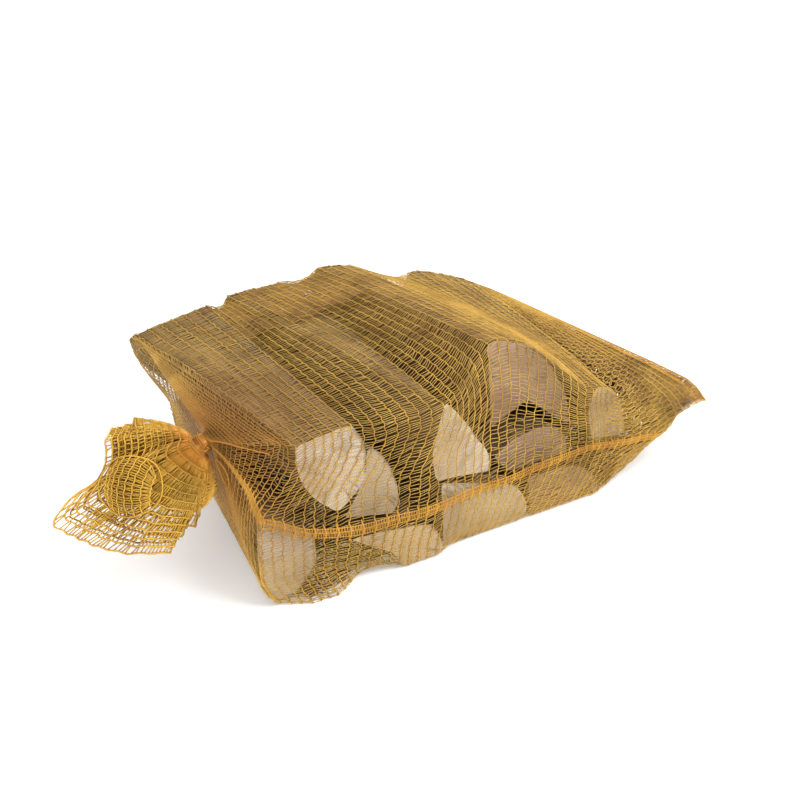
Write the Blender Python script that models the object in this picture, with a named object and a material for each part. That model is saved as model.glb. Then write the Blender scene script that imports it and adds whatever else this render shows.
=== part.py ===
"""Split firewood lying in a knitted net bag that is tied at its left end.

The logs are lofts between the outline of their front end and that of their back end.
The bag is one thin skin drawn tight over them: each of its points slides along one fixed
line until the skin is as taut as it can be without cutting a log. It closes to a straight
sewn edge at the right, is gathered to a narrow neck at the left, and ends in an open frill.
+X runs along the row of logs to the sewn edge, +Y along the logs to the back, +Z is up.
"""

import bpy
import numpy as np
from mathutils import Vector
from mathutils.bvhtree import BVHTree

MM = 0.001
# Where the drawing's zero lies in the part's own frame.
DRAWING_ZERO = np.array([-0.18495, -0.1692, 0.0])

BACK_END = 0.330
CORNER_WEAR = 0.0025
MOST_WEAR_SHARE = 0.3
OUTLINE_STEP = 0.016
LOG_SECTIONS = 4
LOG_CROOK = 0.0012

SKIN = 0.0012
LOG_CLEARANCE = 0.0022
PILE_HEIGHT = 0.180
SIDE_SEAM_HEIGHT = 0.058

# Each corner of a log in mm: x and z at its front end, x and z at its back end, and how far
# the side that starts there bows out in the middle, which is bark where it is large.
LOGS = {
    "log_top_left": (
        -0.005,
        BACK_END,
        (
            (24, 169, -1, 148, 1),
            (26, 141, 2, 128, 2),
            (39, 112, 18, 102, 1),
            (65, 86, 47, 85, 2),
            (88, 102, 76, 93, 2),
            (98, 124, 101, 118, 2),
            (95, 155, 104, 149, 2),
            (82, 175, 92, 164, 1),
        ),
    ),
    "log_top_second": (
        0.0,
        BACK_END,
        (
            (188, 167, 114, 170, 0),
            (181, 142, 110, 150, 0),
            (174, 115, 114, 118, 1),
            (179, 81, 124, 93, 0),
            (245, 73, 188, 85, 0),
            (243, 88, 202, 108, 2),
            (227, 114, 210, 148, 2),
            (209, 142, 186, 171, 1),
        ),
    ),
    "log_top_third": (
        0.035,
        BACK_END + 0.004,
        (
            (260, 197, 228, 177, 0),
            (268, 98, 218, 102, -1),
            (313, 118, 268, 105, -1),
            (369, 71, 314, 78, 1),
            (366, 101, 321, 102, 2),
            (350, 136, 312, 134, 2),
            (332, 164, 297, 154, 2),
            (300, 186, 275, 170, 2),
        ),
    ),
    "log_top_right": (
        0.010,
        BACK_END,
        (
            (378, 121, 354, 147, 0),
            (374, 99, 333, 116, 0),
            (381, 63, 344, 84, 0),
            (426, 57, 452, 78, 1),
            (423, 80, 455, 93, 2),
            (412, 106, 450, 109, 2),
            (393, 123, 402, 132, 2),
        ),
    ),
    "log_middle_left": (
        0.010,
        BACK_END - 0.006,
        (
            (109, 136, 102, 101, 0),
            (97, 90, 92, 84, 0),
            (81, 65, 97, 63, 0),
            (136, 53, 136, 54, 1),
            (142, 64, 144, 63, 2),
            (140, 86, 142, 77, 2),
            (133, 107, 130, 86, 2),
            (122, 126, 114, 96, 1),
        ),
    ),
    "log_middle_right": (
        0.015,
        BACK_END - 0.004,
        (
            (258, 77, 238, 72, 0),
            (277, 54, 255, 53, 0),
            (352, 54, 330, 53, 1),
            (349, 79, 327, 63, 1),
            (333, 92, 306, 74, 1),
            (312, 96, 286, 82, 1),
            (278, 90, 254, 86, 0),
        ),
    ),
    "log_bottom_left": (
        0.0,
        BACK_END,
        (
            (-13, 104, 44, 58, 1),
            (-16, 69, 40, 45, 1),
            (-13, 27, 44, 20, 2),
            (2, 2.8, 56, 2.8, 0),
            (23, 5, 80, 4, 1),
            (45, 36, 96, 26, 2),
            (40, 69, 92, 46, 0),
            (31, 76, 80, 56, 0),
        ),
    ),
    "log_bottom_second": (
        -0.010,
        BACK_END,
        (
            (76, 54, 107, 46, 0),
            (124, 22, 124, 18, 0),
            (135, 2.8, 134, 2.8, 0),
            (182, 2.8, 186, 2.8, 1),
            (179, 20, 184, 20, 2),
            (166, 42, 174, 40, 2),
            (132, 48, 140, 44, 1),
        ),
    ),
    "log_bottom_third": (
        0.0,
        BACK_END - 0.003,
        (
            (185, 77, 191, 70, 0),
            (189, 2.8, 195, 2.8, 0),
            (287, 2.8, 281, 2.8, 0),
            (293, 10, 287, 12, 2),
            (285, 33, 280, 34, 2),
            (269, 51, 262, 47, 0),
        ),
    ),
    "log_bottom_right": (
        0.0,
        BACK_END,
        (
            (292, 50, 294, 48, 0),
            (297, 2.8, 298, 2.8, 0),
            (388, 2.8, 387, 2.8, 1),
            (374, 33, 382, 30, 2),
            (348, 48, 354, 46, 0),
        ),
    ),
    "log_hidden_right": (
        0.115,
        BACK_END - 0.002,
        (
            (396, 50, 401, 73, 0),
            (392, 2.8, 392, 2.8, 0),
            (434, 2.8, 446, 2.8, 2),
            (441, 34, 453, 48, 2),
            (432, 52, 448, 70, 1),
        ),
    ),
}

# The bag's rows over the logs, on the ridges of the top logs and in the valleys between them,
# in mm: x, y, z of the front upper corner of the row, then x and z of its back upper corner.
TOP_ROWS = (
    (24, -5, 170, -1, 149),
    (53, -5, 173, 43, 158),
    (82, -5, 176, 87, 165),
    (118, -3, 172, 102, 166),
    (152, -1, 169, 114, 171),
    (188, 0, 168, 145, 171),
    (212, 8, 172, 172, 172),
    (236, 20, 184, 201, 175),
    (260, 34, 197, 230, 178),
    (300, 35, 187, 275, 171),
    (332, 31, 165, 298, 159),
    (357, 22, 143, 322, 152),
    (378, 12, 124, 354, 148),
    (394, 10, 123, 402, 133),
    (413, 10, 107, 451, 110),
)
# The left and right edges of the pile in mm: height, x at the front, x at the back.
LEFT_EDGE = ((0, 4, 54), (27, -11, 44), (69, -14, 34), (104, -11, 16), (141, 24, 6), (175, 24, 2))
RIGHT_EDGE = ((0, 388, 450), (60, 424, 453), (80, 422, 454), (106, 412, 451), (180, 411, 451))

# Columns on each stretch round the bag, from its front side seam over the top and back.
COLUMNS_FRONT_UPPER = 5
COLUMNS_TOP = 13
COLUMNS_BACK_UPPER = 5
COLUMNS_BACK_LOWER = 4
COLUMNS_BOTTOM = 15
COLUMNS_FRONT_LOWER = 4
CORE_FRONT = 0.090
CORE_BACK = 0.240
CORE_HEIGHT = 0.085

# The sewn edge, from its front ear to its back ear: x, y, z in mm.
SEWN_EDGE = ((530, -1, 74), (527, 18, 88), (519, 70, 90), (479, 356, 90))
SEWN_HALF_GAP = 0.0008
CLOSING_STIFFNESS = 0.9
# How far the net's lower front sags below a straight line to the front ear, closing row by
# closing row, in mm, and how much of that it also bulges to the front.
CLOSING_SAG = (9, 20, 27, 4, 0)
CLOSING_BULGE = 0.5
CLOSING_ROWS = len(CLOSING_SAG)
# Slack of the bag on the ground before the left logs: x, half width and reach, in metres.
SLACK_PLACE = 0.047
SLACK_WIDTH = 0.030
SLACK_REACH = 0.021

NECK_CENTRE = np.array([-0.0235, 0.081, 0.149])
NECK_RADIUS = 0.008
NECK_LENGTH = 0.009
GATHER_ROWS = 6
GATHER_EASE = 1.15
GATHER_TURN = 2.2
# Share of its own direction that a column keeps at the neck; the rest is evenly spaced.
NECK_OWN_SHARE = 0.35

# The frill lies in a plane that faces the front: along it, across it and out of it.
FRILL_ALONG = np.array([-0.829, 0.178, -0.530])
FRILL_ACROSS = np.array([0.270, -0.633, -0.726])
FRILL_ROWS = 6
# The frill's free edge: share of the way round it, then reach along the frill, place across it
# and place out of its plane, in mm. The near layer is the first half and the far layer the rest.
FRILL_EDGE = (
    (0.000, 55, -62, 0),
    (0.030, 66, -56, 3),
    (0.060, 75, -43, 6),
    (0.090, 86, -33, 7),
    (0.120, 104, -30, 8),
    (0.155, 121, -33, 8),
    (0.185, 139, -28, 7),
    (0.210, 153, -23, 6),
    (0.240, 149, -12, 6),
    (0.280, 141, 4, 7),
    (0.320, 130, 21, 7),
    (0.360, 111, 42, 6),
    (0.385, 96, 53, 5),
    (0.410, 81, 64, 5),
    (0.435, 60, 46, 5),
    (0.455, 43, 47, 4),
    (0.475, 27, 48, 3),
    (0.500, 14, 43, 0),
    (0.570, 45, 30, -7),
    (0.660, 82, 12, -9),
    (0.760, 100, -8, -9),
    (0.860, 92, -26, -8),
    (0.940, 66, -46, -4),
    (1.000, 55, -62, 0),
)
FRILL_OPENING = 0.62
FRILL_FOLDS = 3.0
FRILL_FOLD_START = 0.6
FRILL_FOLD_DEPTH = 0.004
POUCH_PLACE = (0.072, -0.007)
POUCH_SIZE = 0.024
POUCH_DEPTH = 0.009

TIE_RADIUS = 0.0015
TIE_GAP = 0.0004

# Rays that find the logs start this far outside the skin's rest and end this far inside it.
RAY_REACH = 0.16
RAY_DEPTH = 0.12
RELAX_STEPS = 260
RELAX_PUSH = 0.9
PRESS_STEPS = 60
LEAST_SHARE = 0.05
FINE_ROWS = 5
FINE_COLUMNS = 4


def new_material(name, colour, roughness):
    material = bpy.data.materials.new(name)
    material.use_nodes = True
    shader = material.node_tree.nodes["Principled BSDF"]
    shader.inputs["Base Color"].default_value = (*colour, 1.0)
    shader.inputs["Roughness"].default_value = roughness
    shader.inputs["Metallic"].default_value = 0.0
    return material


def new_object(name, points, faces, material, collection, smooth):
    mesh = bpy.data.meshes.new(name)
    mesh.from_pydata((np.asarray(points) + DRAWING_ZERO).tolist(), [], faces)
    mesh.polygons.foreach_set("use_smooth", [smooth] * len(mesh.polygons))
    mesh.materials.append(material)
    mesh.update()
    thing = bpy.data.objects.new(name, mesh)
    collection.objects.link(thing)
    return thing


def log_outlines(corners):
    """Front and back outline of a log: each side bows by its own amount, each corner is worn."""
    table = np.array(corners, float) * MM
    front, back, bows = table[:, 0:2], table[:, 2:4], table[:, 4]
    rings = ([], [])
    for k, bow in enumerate(bows):
        after = (k + 1) % len(table)
        longest = max(np.linalg.norm(ends[after] - ends[k]) for ends in (front, back))
        count = max(2, int(round(longest / OUTLINE_STEP)) + 1)
        for ring, ends in zip(rings, (front, back)):
            side = ends[after] - ends[k]
            length = np.linalg.norm(side)
            wear = min(CORNER_WEAR / length, MOST_WEAR_SHARE)
            along = np.linspace(wear, 1.0 - wear, count)[:, None]
            outward = np.array([-side[1], side[0]]) / -length
            ring.append(ends[k] + side * along + outward * bow * 4.0 * along * (1.0 - along))
    return np.concatenate(rings[0]), np.concatenate(rings[1])


def log_solid(front_y, back_y, corners):
    """Points and faces of one log, lofted from its front outline to its back outline."""
    front, back = log_outlines(corners)
    count = len(front)
    rows = []
    for part in np.linspace(0.0, 1.0, LOG_SECTIONS + 1):
        ring = front + (back - front) * part
        crook = LOG_CROOK * np.sin(np.pi * part)
        y = front_y + (back_y - front_y) * part
        rows.append(np.column_stack([ring[:, 0] + crook, np.full(count, y), ring[:, 1] + crook]))
    points = np.concatenate(rows)
    faces = [tuple(range(count)), tuple(range(len(points) - 1, len(points) - 1 - count, -1))]
    for row in range(LOG_SECTIONS):
        for k in range(count):
            a, b = row * count + k, row * count + (k + 1) % count
            faces.append((a, a + count, b + count, b))
    return points, faces


def stretch(start, end, count):
    return np.linspace(start, end, count, endpoint=False)


def row_places(front_y, front_z, back_z):
    """Places (y, z) of one row's columns round the pile, and their outward directions."""
    front, back, seam = (front_y, front_z), (BACK_END, back_z), SIDE_SEAM_HEIGHT
    place = np.concatenate(
        [
            stretch((0.0, seam), front, COLUMNS_FRONT_UPPER),
            stretch(front, back, COLUMNS_TOP),
            stretch(back, (BACK_END, seam), COLUMNS_BACK_UPPER),
            stretch((BACK_END, seam), (BACK_END, 0.0), COLUMNS_BACK_LOWER),
            stretch((BACK_END, 0.0), (0.0, 0.0), COLUMNS_BOTTOM),
            stretch((0.0, 0.0), (0.0, seam), COLUMNS_FRONT_LOWER),
        ]
    )
    core_y = np.clip(place[:, 0], CORE_FRONT, CORE_BACK)
    core = np.column_stack([core_y, np.full(len(place), CORE_HEIGHT)])
    outward = place - core
    outward /= np.linalg.norm(outward, axis=1)[:, None]
    return place, np.column_stack([np.zeros(len(place)), outward])


def edge_x(table, place):
    """x of an edge of the pile at each place: by height, then from the front to the back."""
    height, front, back = np.array(table, float).T * MM
    share = np.clip(place[:, 0] / BACK_END, 0.0, 1.0)
    front_x = np.interp(place[:, 1], height, front)
    back_x = np.interp(place[:, 1], height, back)
    return front_x + (back_x - front_x) * share


def body_rows():
    """Rows of the bag over the logs, each with the outward directions of its columns."""
    table = np.array(TOP_ROWS, float) * MM
    front_share = (table[:, 0] - table[0, 0]) / (table[-1, 0] - table[0, 0])
    back_share = (table[:, 3] - table[0, 3]) / (table[-1, 3] - table[0, 3])
    rows, lines = [], []
    for k, (_, front_y, front_z, _, back_z) in enumerate(table):
        place, outward = row_places(front_y, front_z, back_z)
        left, right = edge_x(LEFT_EDGE, place), edge_x(RIGHT_EDGE, place)
        depth = np.clip((place[:, 0] - front_y) / (BACK_END - front_y), 0.0, 1.0)
        top_share = front_share[k] + (back_share[k] - front_share[k]) * depth
        low_share = k / (len(table) - 1.0)
        height = np.interp(place[:, 1], (0.0, min(front_z, back_z)), (0.0, 1.0))
        x = left + (right - left) * (low_share + (top_share - low_share) * height)
        slack = np.exp(-(((x - SLACK_PLACE) / SLACK_WIDTH) ** 2)) * np.exp(-place[:, 1] / SLACK_REACH)
        y = place[:, 0] - SLACK_REACH * slack * (place[:, 0] < CORE_FRONT / 2.0)
        rows.append(np.column_stack([x, y, place[:, 1]]))
        lines.append(outward)
    return rows, lines


def sewn_row(columns):
    """The last row: the upper sheet runs from the front ear to the back ear, the lower one back."""
    half = columns // 2
    share = np.concatenate([np.arange(half) / half, 1.0 - np.arange(half) / half])
    edge = np.array(SEWN_EDGE, float) * MM
    steps = np.linalg.norm(np.diff(edge, axis=0), axis=1)
    at = np.concatenate([[0.0], np.cumsum(steps)]) / steps.sum()
    row = np.column_stack([np.interp(share, at, edge[:, k]) for k in range(3)])
    row[1:half, 2] += SEWN_HALF_GAP
    row[half + 1 :, 2] -= SEWN_HALF_GAP
    return row


def neck_directions(place):
    """Unit directions round the neck, one for each column, evened out between the columns."""
    around = np.unwrap(np.arctan2(place[:, 1] - NECK_CENTRE[2], place[:, 0] - NECK_CENTRE[1]))
    turn = np.sign(around[-1] - around[0]) * 2.0 * np.pi
    even = around.mean() + turn * ((np.arange(len(place)) + 0.5) / len(place) - 0.5)
    angle = NECK_OWN_SHARE * around + (1.0 - NECK_OWN_SHARE) * even
    flat = np.column_stack([np.zeros(len(place)), np.cos(angle), np.sin(angle)])
    along = FRILL_ALONG / np.linalg.norm(FRILL_ALONG)
    flat -= (flat @ along)[:, None] * along
    return flat / np.linalg.norm(flat, axis=1)[:, None]


def frill_rows(directions):
    """Rows of the frill, from the neck to its free edge: two layers of a fan, joined at its sides."""
    along = FRILL_ALONG / np.linalg.norm(FRILL_ALONG)
    across = FRILL_ACROSS - (FRILL_ACROSS @ along) * along
    across /= np.linalg.norm(across)
    out = np.cross(across, along)
    if out[1] > 0.0:
        out = -out
    side, near = directions @ across, directions @ out
    turn = (np.arctan2(near, -side) / (2.0 * np.pi)) % 1.0
    places, *edge = np.array(FRILL_EDGE).T
    reach, spread, lift = (np.interp(turn, places, column) * MM for column in edge)
    from_side = 2.0 * np.minimum(turn, 1.0 - turn)
    centre = NECK_CENTRE + along * NECK_LENGTH
    rows = []
    for part in np.arange(FRILL_ROWS + 1) / FRILL_ROWS:
        opened = part**FRILL_OPENING
        forward = reach * part
        width = side * NECK_RADIUS * (1.0 - part) + spread * opened
        fold = FRILL_FOLD_DEPTH * part * np.sin(2.0 * np.pi * FRILL_FOLDS * from_side + FRILL_FOLD_START)
        pouch = np.exp(-((forward - POUCH_PLACE[0]) ** 2 + (width - POUCH_PLACE[1]) ** 2) / POUCH_SIZE**2)
        depth = near * NECK_RADIUS * (1.0 - part) + lift * opened + fold
        depth = depth + POUCH_DEPTH * pouch * np.clip(near, 0.0, 1.0)
        rows.append(centre + np.outer(forward, along) + np.outer(width, across) + np.outer(depth, out))
    return rows


def ray_limits(tree, start, outward):
    """How far out along each line the logs reach, or minus the rays' depth where it meets none."""
    limits = np.full(len(start), -RAY_DEPTH)
    for k, (point, direction) in enumerate(zip(start, outward)):
        far = Vector(point + direction * RAY_REACH)
        distance = tree.ray_cast(far, Vector(-direction), RAY_REACH + RAY_DEPTH)[3]
        if distance is not None:
            limits[k] = RAY_REACH - distance
    return limits


def blend(grid, row, column):
    """Values of a grid between its rows and columns, and which four of them make each value."""
    i0 = np.minimum(np.floor(row).astype(int), len(grid) - 2)
    j0 = np.floor(column).astype(int)
    u, v = row - i0, column - j0
    j1 = (j0 + 1) % grid.shape[1]
    j0 = j0 % grid.shape[1]
    corners = (
        (i0, j0, (1 - u) * (1 - v)),
        (i0 + 1, j0, u * (1 - v)),
        (i0, j1, (1 - u) * v),
        (i0 + 1, j1, u * v),
    )
    return sum(grid[i, j] * share[:, None] for i, j, share in corners), corners


def taut_skin(reference, outward, stiffness, tree, fixed_rows):
    """The skin's inner side: its points slide along their lines, pulled by their neighbours and
    pushed out by the logs, which are felt between the rows and columns too."""
    rows, columns = reference.shape[:2]
    fine_row, fine_column = np.meshgrid(
        np.arange((rows - 1) * FINE_ROWS + 1) / FINE_ROWS,
        np.arange(columns * FINE_COLUMNS) / FINE_COLUMNS,
        indexing="ij",
    )
    fine_row, fine_column = fine_row.ravel(), fine_column.ravel()
    start, corners = blend(reference, fine_row, fine_column)
    line, _ = blend(outward, fine_row, fine_column)
    line /= np.linalg.norm(line, axis=1)[:, None]
    limit = ray_limits(tree, start, line) + LOG_CLEARANCE
    slide = np.zeros((rows, columns))
    free = np.ones((rows, 1), bool)
    free[list(fixed_rows)] = False

    def settled(slide):
        skin = reference + outward * slide[..., None]
        skin[..., 2] = np.maximum(skin[..., 2], SKIN)
        return skin

    def press(slide, share):
        felt, _ = blend(settled(slide), fine_row, fine_column)
        short = np.maximum(limit - ((felt - start) * line).sum(axis=1), 0.0)
        weight = sum(part**2 for _, _, part in corners)
        push = np.zeros_like(slide)
        for i, j, part in corners:
            wanted = short * np.minimum(part / weight, 1.0)
            np.maximum.at(push, (i, j), np.where(part > LEAST_SHARE, wanted, 0.0))
        return slide + np.where(free, push * share, 0.0)

    for _ in range(RELAX_STEPS):
        skin = settled(slide)
        pull = (np.roll(skin, 1, 1) + np.roll(skin, -1, 1)) / 4.0
        pull[1:-1] += (skin[:-2] + skin[2:]) / 4.0
        target = ((pull[1:-1] - reference[1:-1]) * outward[1:-1]).sum(axis=2)
        slide[1:-1] = np.where(free[1:-1], target * (1.0 - stiffness[1:-1]), slide[1:-1])
        slide = press(slide, RELAX_PUSH)
    for _ in range(PRESS_STEPS):
        slide = press(slide, 1.0)
    return settled(slide)


def skin_normals(skin):
    along = np.empty_like(skin)
    along[1:-1] = skin[2:] - skin[:-2]
    along[0], along[-1] = skin[1] - skin[0], skin[-1] - skin[-2]
    around = np.roll(skin, -1, 1) - np.roll(skin, 1, 1)
    normal = np.cross(along, around)
    return normal / np.linalg.norm(normal, axis=2)[..., None]


def bag_skin(tree):
    """The bag's inner side, row by row from the frill's free edge to the sewn edge."""
    body, body_lines = body_rows()
    columns = len(body[0])
    radial = body_lines[0]
    directions = neck_directions(body[0][:, 1:])
    ring = NECK_CENTRE + directions * NECK_RADIUS
    frill = frill_rows(directions)
    sewn = sewn_row(columns)
    reference, lines = [ring], [radial]
    for k in range(1, GATHER_ROWS + 1):
        part = 1.0 - (k / (GATHER_ROWS + 1.0))
        turned = np.clip(part * GATHER_TURN, 0.0, 1.0)
        line = radial * (1.0 - turned) + np.array([-1.0, 0.0, 0.0]) * turned
        reference.append(body[0] + (ring - body[0]) * part**GATHER_EASE)
        lines.append(line / np.linalg.norm(line, axis=1)[:, None])
    reference += body
    lines += body_lines
    low = np.clip(1.0 - body[-1][:, 2] / SIDE_SEAM_HEIGHT, 0.0, 1.0)
    low = np.sqrt(low) * np.clip(1.0 - body[-1][:, 1] / BACK_END, 0.0, 1.0)
    for k, sag in enumerate(CLOSING_SAG, 1):
        row = body[-1] + (sewn - body[-1]) * (k / CLOSING_ROWS)
        row[:, 2] -= sag * MM * low
        row[:, 1] -= sag * MM * low * CLOSING_BULGE
        reference.append(row)
        lines.append(body_lines[-1])
    reference, lines = np.array(reference), np.array(lines)
    stiffness = np.zeros(reference.shape[:2])
    stiffness[-CLOSING_ROWS:] = CLOSING_STIFFNESS
    slack = np.hypot(reference[..., 0] - SLACK_PLACE, reference[..., 1] + SLACK_REACH)
    stiffness[(slack < SLACK_WIDTH) & (reference[..., 2] < SLACK_REACH)] = 1.0
    skin = taut_skin(reference, lines, stiffness, tree, (0, len(reference) - 1))
    return np.concatenate([np.array(frill[::-1]), skin])


def outward_triangles(quads, inner, outer):
    """Each quad cut along whichever diagonal lies further out, so that no cut dips to a log."""
    first = inner[quads[:, 0]] + inner[quads[:, 2]]
    second = inner[quads[:, 1]] + inner[quads[:, 3]]
    normal = (outer[quads] - inner[quads]).sum(axis=1)
    on_first = ((first - second) * normal).sum(axis=1) > 0.0
    a, b, c, d = quads.T
    upper = np.where(on_first, (a, b, c), (a, b, d)).T
    lower = np.where(on_first, (a, c, d), (b, c, d)).T
    return np.concatenate([upper, lower])


def bag_solid(tree):
    inner = bag_skin(tree)
    outer = inner + skin_normals(inner) * SKIN
    outer[..., 2] = np.maximum(outer[..., 2], 0.0)
    rows, columns = inner.shape[:2]
    outer[-1] = inner[-1] + np.array([SKIN, 0.0, 0.0])
    half = columns // 2
    outer[-1, 1:half, 2] += SKIN
    outer[-1, half + 1 :, 2] -= SKIN
    outer[-1, 0, 1] -= SKIN
    outer[-1, half, 1] += SKIN
    size = rows * columns
    index = np.arange(size).reshape(rows, columns)
    after = np.roll(index, -1, 1)
    quads = np.stack([index[:-1], after[:-1], after[1:], index[1:]], axis=-1).reshape(-1, 4)
    triangles = outward_triangles(quads, inner.reshape(-1, 3), outer.reshape(-1, 3))
    faces = [tuple(corners) for corners in triangles.tolist()]
    faces += [tuple(corners) for corners in (triangles[:, ::-1] + size).tolist()]
    rim = np.stack([index[0], index[0] + size, after[0] + size, after[0]], axis=-1)
    faces += [tuple(quad) for quad in rim.tolist()]
    last = index[-1].tolist()
    for k in range(half):
        low, low_after = last[(columns - k) % columns], last[columns - k - 1]
        up, up_after = last[k], last[k + 1]
        ends = list(dict.fromkeys((up, up_after, low_after, low)))
        faces.append(tuple(ends))
        faces.append(tuple(end + size for end in reversed(ends)))
    return np.concatenate([inner.reshape(-1, 3), outer.reshape(-1, 3)]), faces


def tie_object(material, collection):
    """The cord round the neck, as one plain ring."""
    along = FRILL_ALONG / np.linalg.norm(FRILL_ALONG)
    radius = NECK_RADIUS + SKIN + TIE_GAP + TIE_RADIUS
    bpy.ops.mesh.primitive_torus_add(
        major_segments=24,
        minor_segments=6,
        major_radius=radius,
        minor_radius=TIE_RADIUS,
        location=(NECK_CENTRE + along * NECK_LENGTH * 0.5 + DRAWING_ZERO).tolist(),
        rotation=Vector(along.tolist()).to_track_quat("Z", "Y").to_euler(),
    )
    tie = bpy.context.object
    tie.name = "neck_tie"
    tie.data.name = "neck_tie"
    tie.data.materials.append(material)
    tie.data.polygons.foreach_set("use_smooth", [True] * len(tie.data.polygons))
    for owner in list(tie.users_collection):
        owner.objects.unlink(tie)
    collection.objects.link(tie)
    return tie


def main():
    for thing in list(bpy.data.objects):
        bpy.data.objects.remove(thing, do_unlink=True)
    collection = bpy.data.collections.new("firewood_bundle")
    bpy.context.scene.collection.children.link(collection)
    wood = new_material("split_wood", (0.52, 0.38, 0.24), 0.85)
    net = new_material("net_thread", (0.72, 0.42, 0.08), 0.55)
    cord = new_material("tie_cord", (0.78, 0.33, 0.05), 0.6)
    all_points, all_faces = [], []
    for name, (front_y, back_y, corners) in LOGS.items():
        points, faces = log_solid(front_y, back_y, corners)
        new_object(name, points, faces, wood, collection, False)
        all_faces += [tuple(k + len(all_points) for k in face) for face in faces]
        all_points += points.tolist()
    tree = BVHTree.FromPolygons(all_points, all_faces)
    points, faces = bag_solid(tree)
    new_object("net_bag", points, faces, net, collection, True)
    tie_object(cord, collection)


main()
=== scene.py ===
"""Looks of a bundle of split firewood in a knitted net bag, tied shut at its left end.

Each log of the frame gets a split, fibrous skin and sawn ends, read off its own solid. The bag
is knitted thread by thread on one taut skin over those logs: chains of stitches run round it,
laid-in thread zigzags between them, and a sewn side seam, a gathered neck and a frill close it.
Everything is in metres in the frame's own axes: +X along the row of logs, +Y along the logs to
the back, +Z up.
"""

import logging
import math
from dataclasses import dataclass, replace
from enum import Enum
from typing import Any, Union

import bpy
import numpy as np
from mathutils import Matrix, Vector
from mathutils.bvhtree import BVHTree


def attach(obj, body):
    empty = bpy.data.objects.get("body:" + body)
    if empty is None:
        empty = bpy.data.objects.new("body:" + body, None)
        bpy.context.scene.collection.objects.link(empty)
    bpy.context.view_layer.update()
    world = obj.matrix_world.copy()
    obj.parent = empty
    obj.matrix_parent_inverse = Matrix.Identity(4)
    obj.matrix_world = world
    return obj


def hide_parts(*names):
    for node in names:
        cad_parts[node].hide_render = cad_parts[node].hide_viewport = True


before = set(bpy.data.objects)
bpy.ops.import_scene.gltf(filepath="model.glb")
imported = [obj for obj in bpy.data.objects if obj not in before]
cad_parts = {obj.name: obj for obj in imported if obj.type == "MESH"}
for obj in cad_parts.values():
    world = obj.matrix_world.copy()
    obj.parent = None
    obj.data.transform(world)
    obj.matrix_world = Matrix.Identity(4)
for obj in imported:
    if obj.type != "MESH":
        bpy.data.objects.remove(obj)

LOGGER = logging.getLogger("firewood_bundle")
MM = 0.001
TAPE_HEIGHT = 0.45
BODY = "root"
Number = Union[int, float]


# Shader graphs


class Value:
    """One output socket of a shader graph; arithmetic on it adds Math nodes."""

    def __init__(self, graph: "Graph", socket: Any) -> None:
        """Keeps the graph and the socket."""
        self.graph = graph
        self.socket = socket

    def _math(self, operation: str, *operands: Union["Value", Number]) -> "Value":
        """Adds one Math node.

        Args:
            operation: the Math node's operation.
            operands: its inputs, in order.

        Returns:
            The node's output.
        """
        return self.graph.node("ShaderNodeMath", {"operation": operation}, dict(enumerate(operands)))

    def __add__(self, other: Union["Value", Number]) -> "Value":
        """Sum."""
        return self._math("ADD", self, other)

    def __radd__(self, other: Number) -> "Value":
        """Reflected sum."""
        return self._math("ADD", other, self)

    def __sub__(self, other: Union["Value", Number]) -> "Value":
        """Difference."""
        return self._math("SUBTRACT", self, other)

    def __rsub__(self, other: Number) -> "Value":
        """Reflected difference."""
        return self._math("SUBTRACT", other, self)

    def __mul__(self, other: Union["Value", Number]) -> "Value":
        """Product."""
        return self._math("MULTIPLY", self, other)

    def __rmul__(self, other: Number) -> "Value":
        """Reflected product."""
        return self._math("MULTIPLY", other, self)

    def __pow__(self, other: Union["Value", Number]) -> "Value":
        """Power."""
        return self._math("POWER", self, other)

    def sine(self) -> "Value":
        """Sine of the value in radians."""
        return self._math("SINE", self)

    def clamped(self) -> "Value":
        """The value held between 0 and 1."""
        return self._math("MAXIMUM", self._math("MINIMUM", self, 1.0), 0.0)

    def ramp(self, low: float, high: float) -> "Value":
        """A smooth step.

        Args:
            low: value where the step starts at 0.
            high: value where it reaches 1.

        Returns:
            The stepped value.
        """
        return self.graph.node(
            "ShaderNodeMapRange",
            {"interpolation_type": "SMOOTHSTEP"},
            {"Value": self, "From Min": low, "From Max": high},
        )


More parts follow.
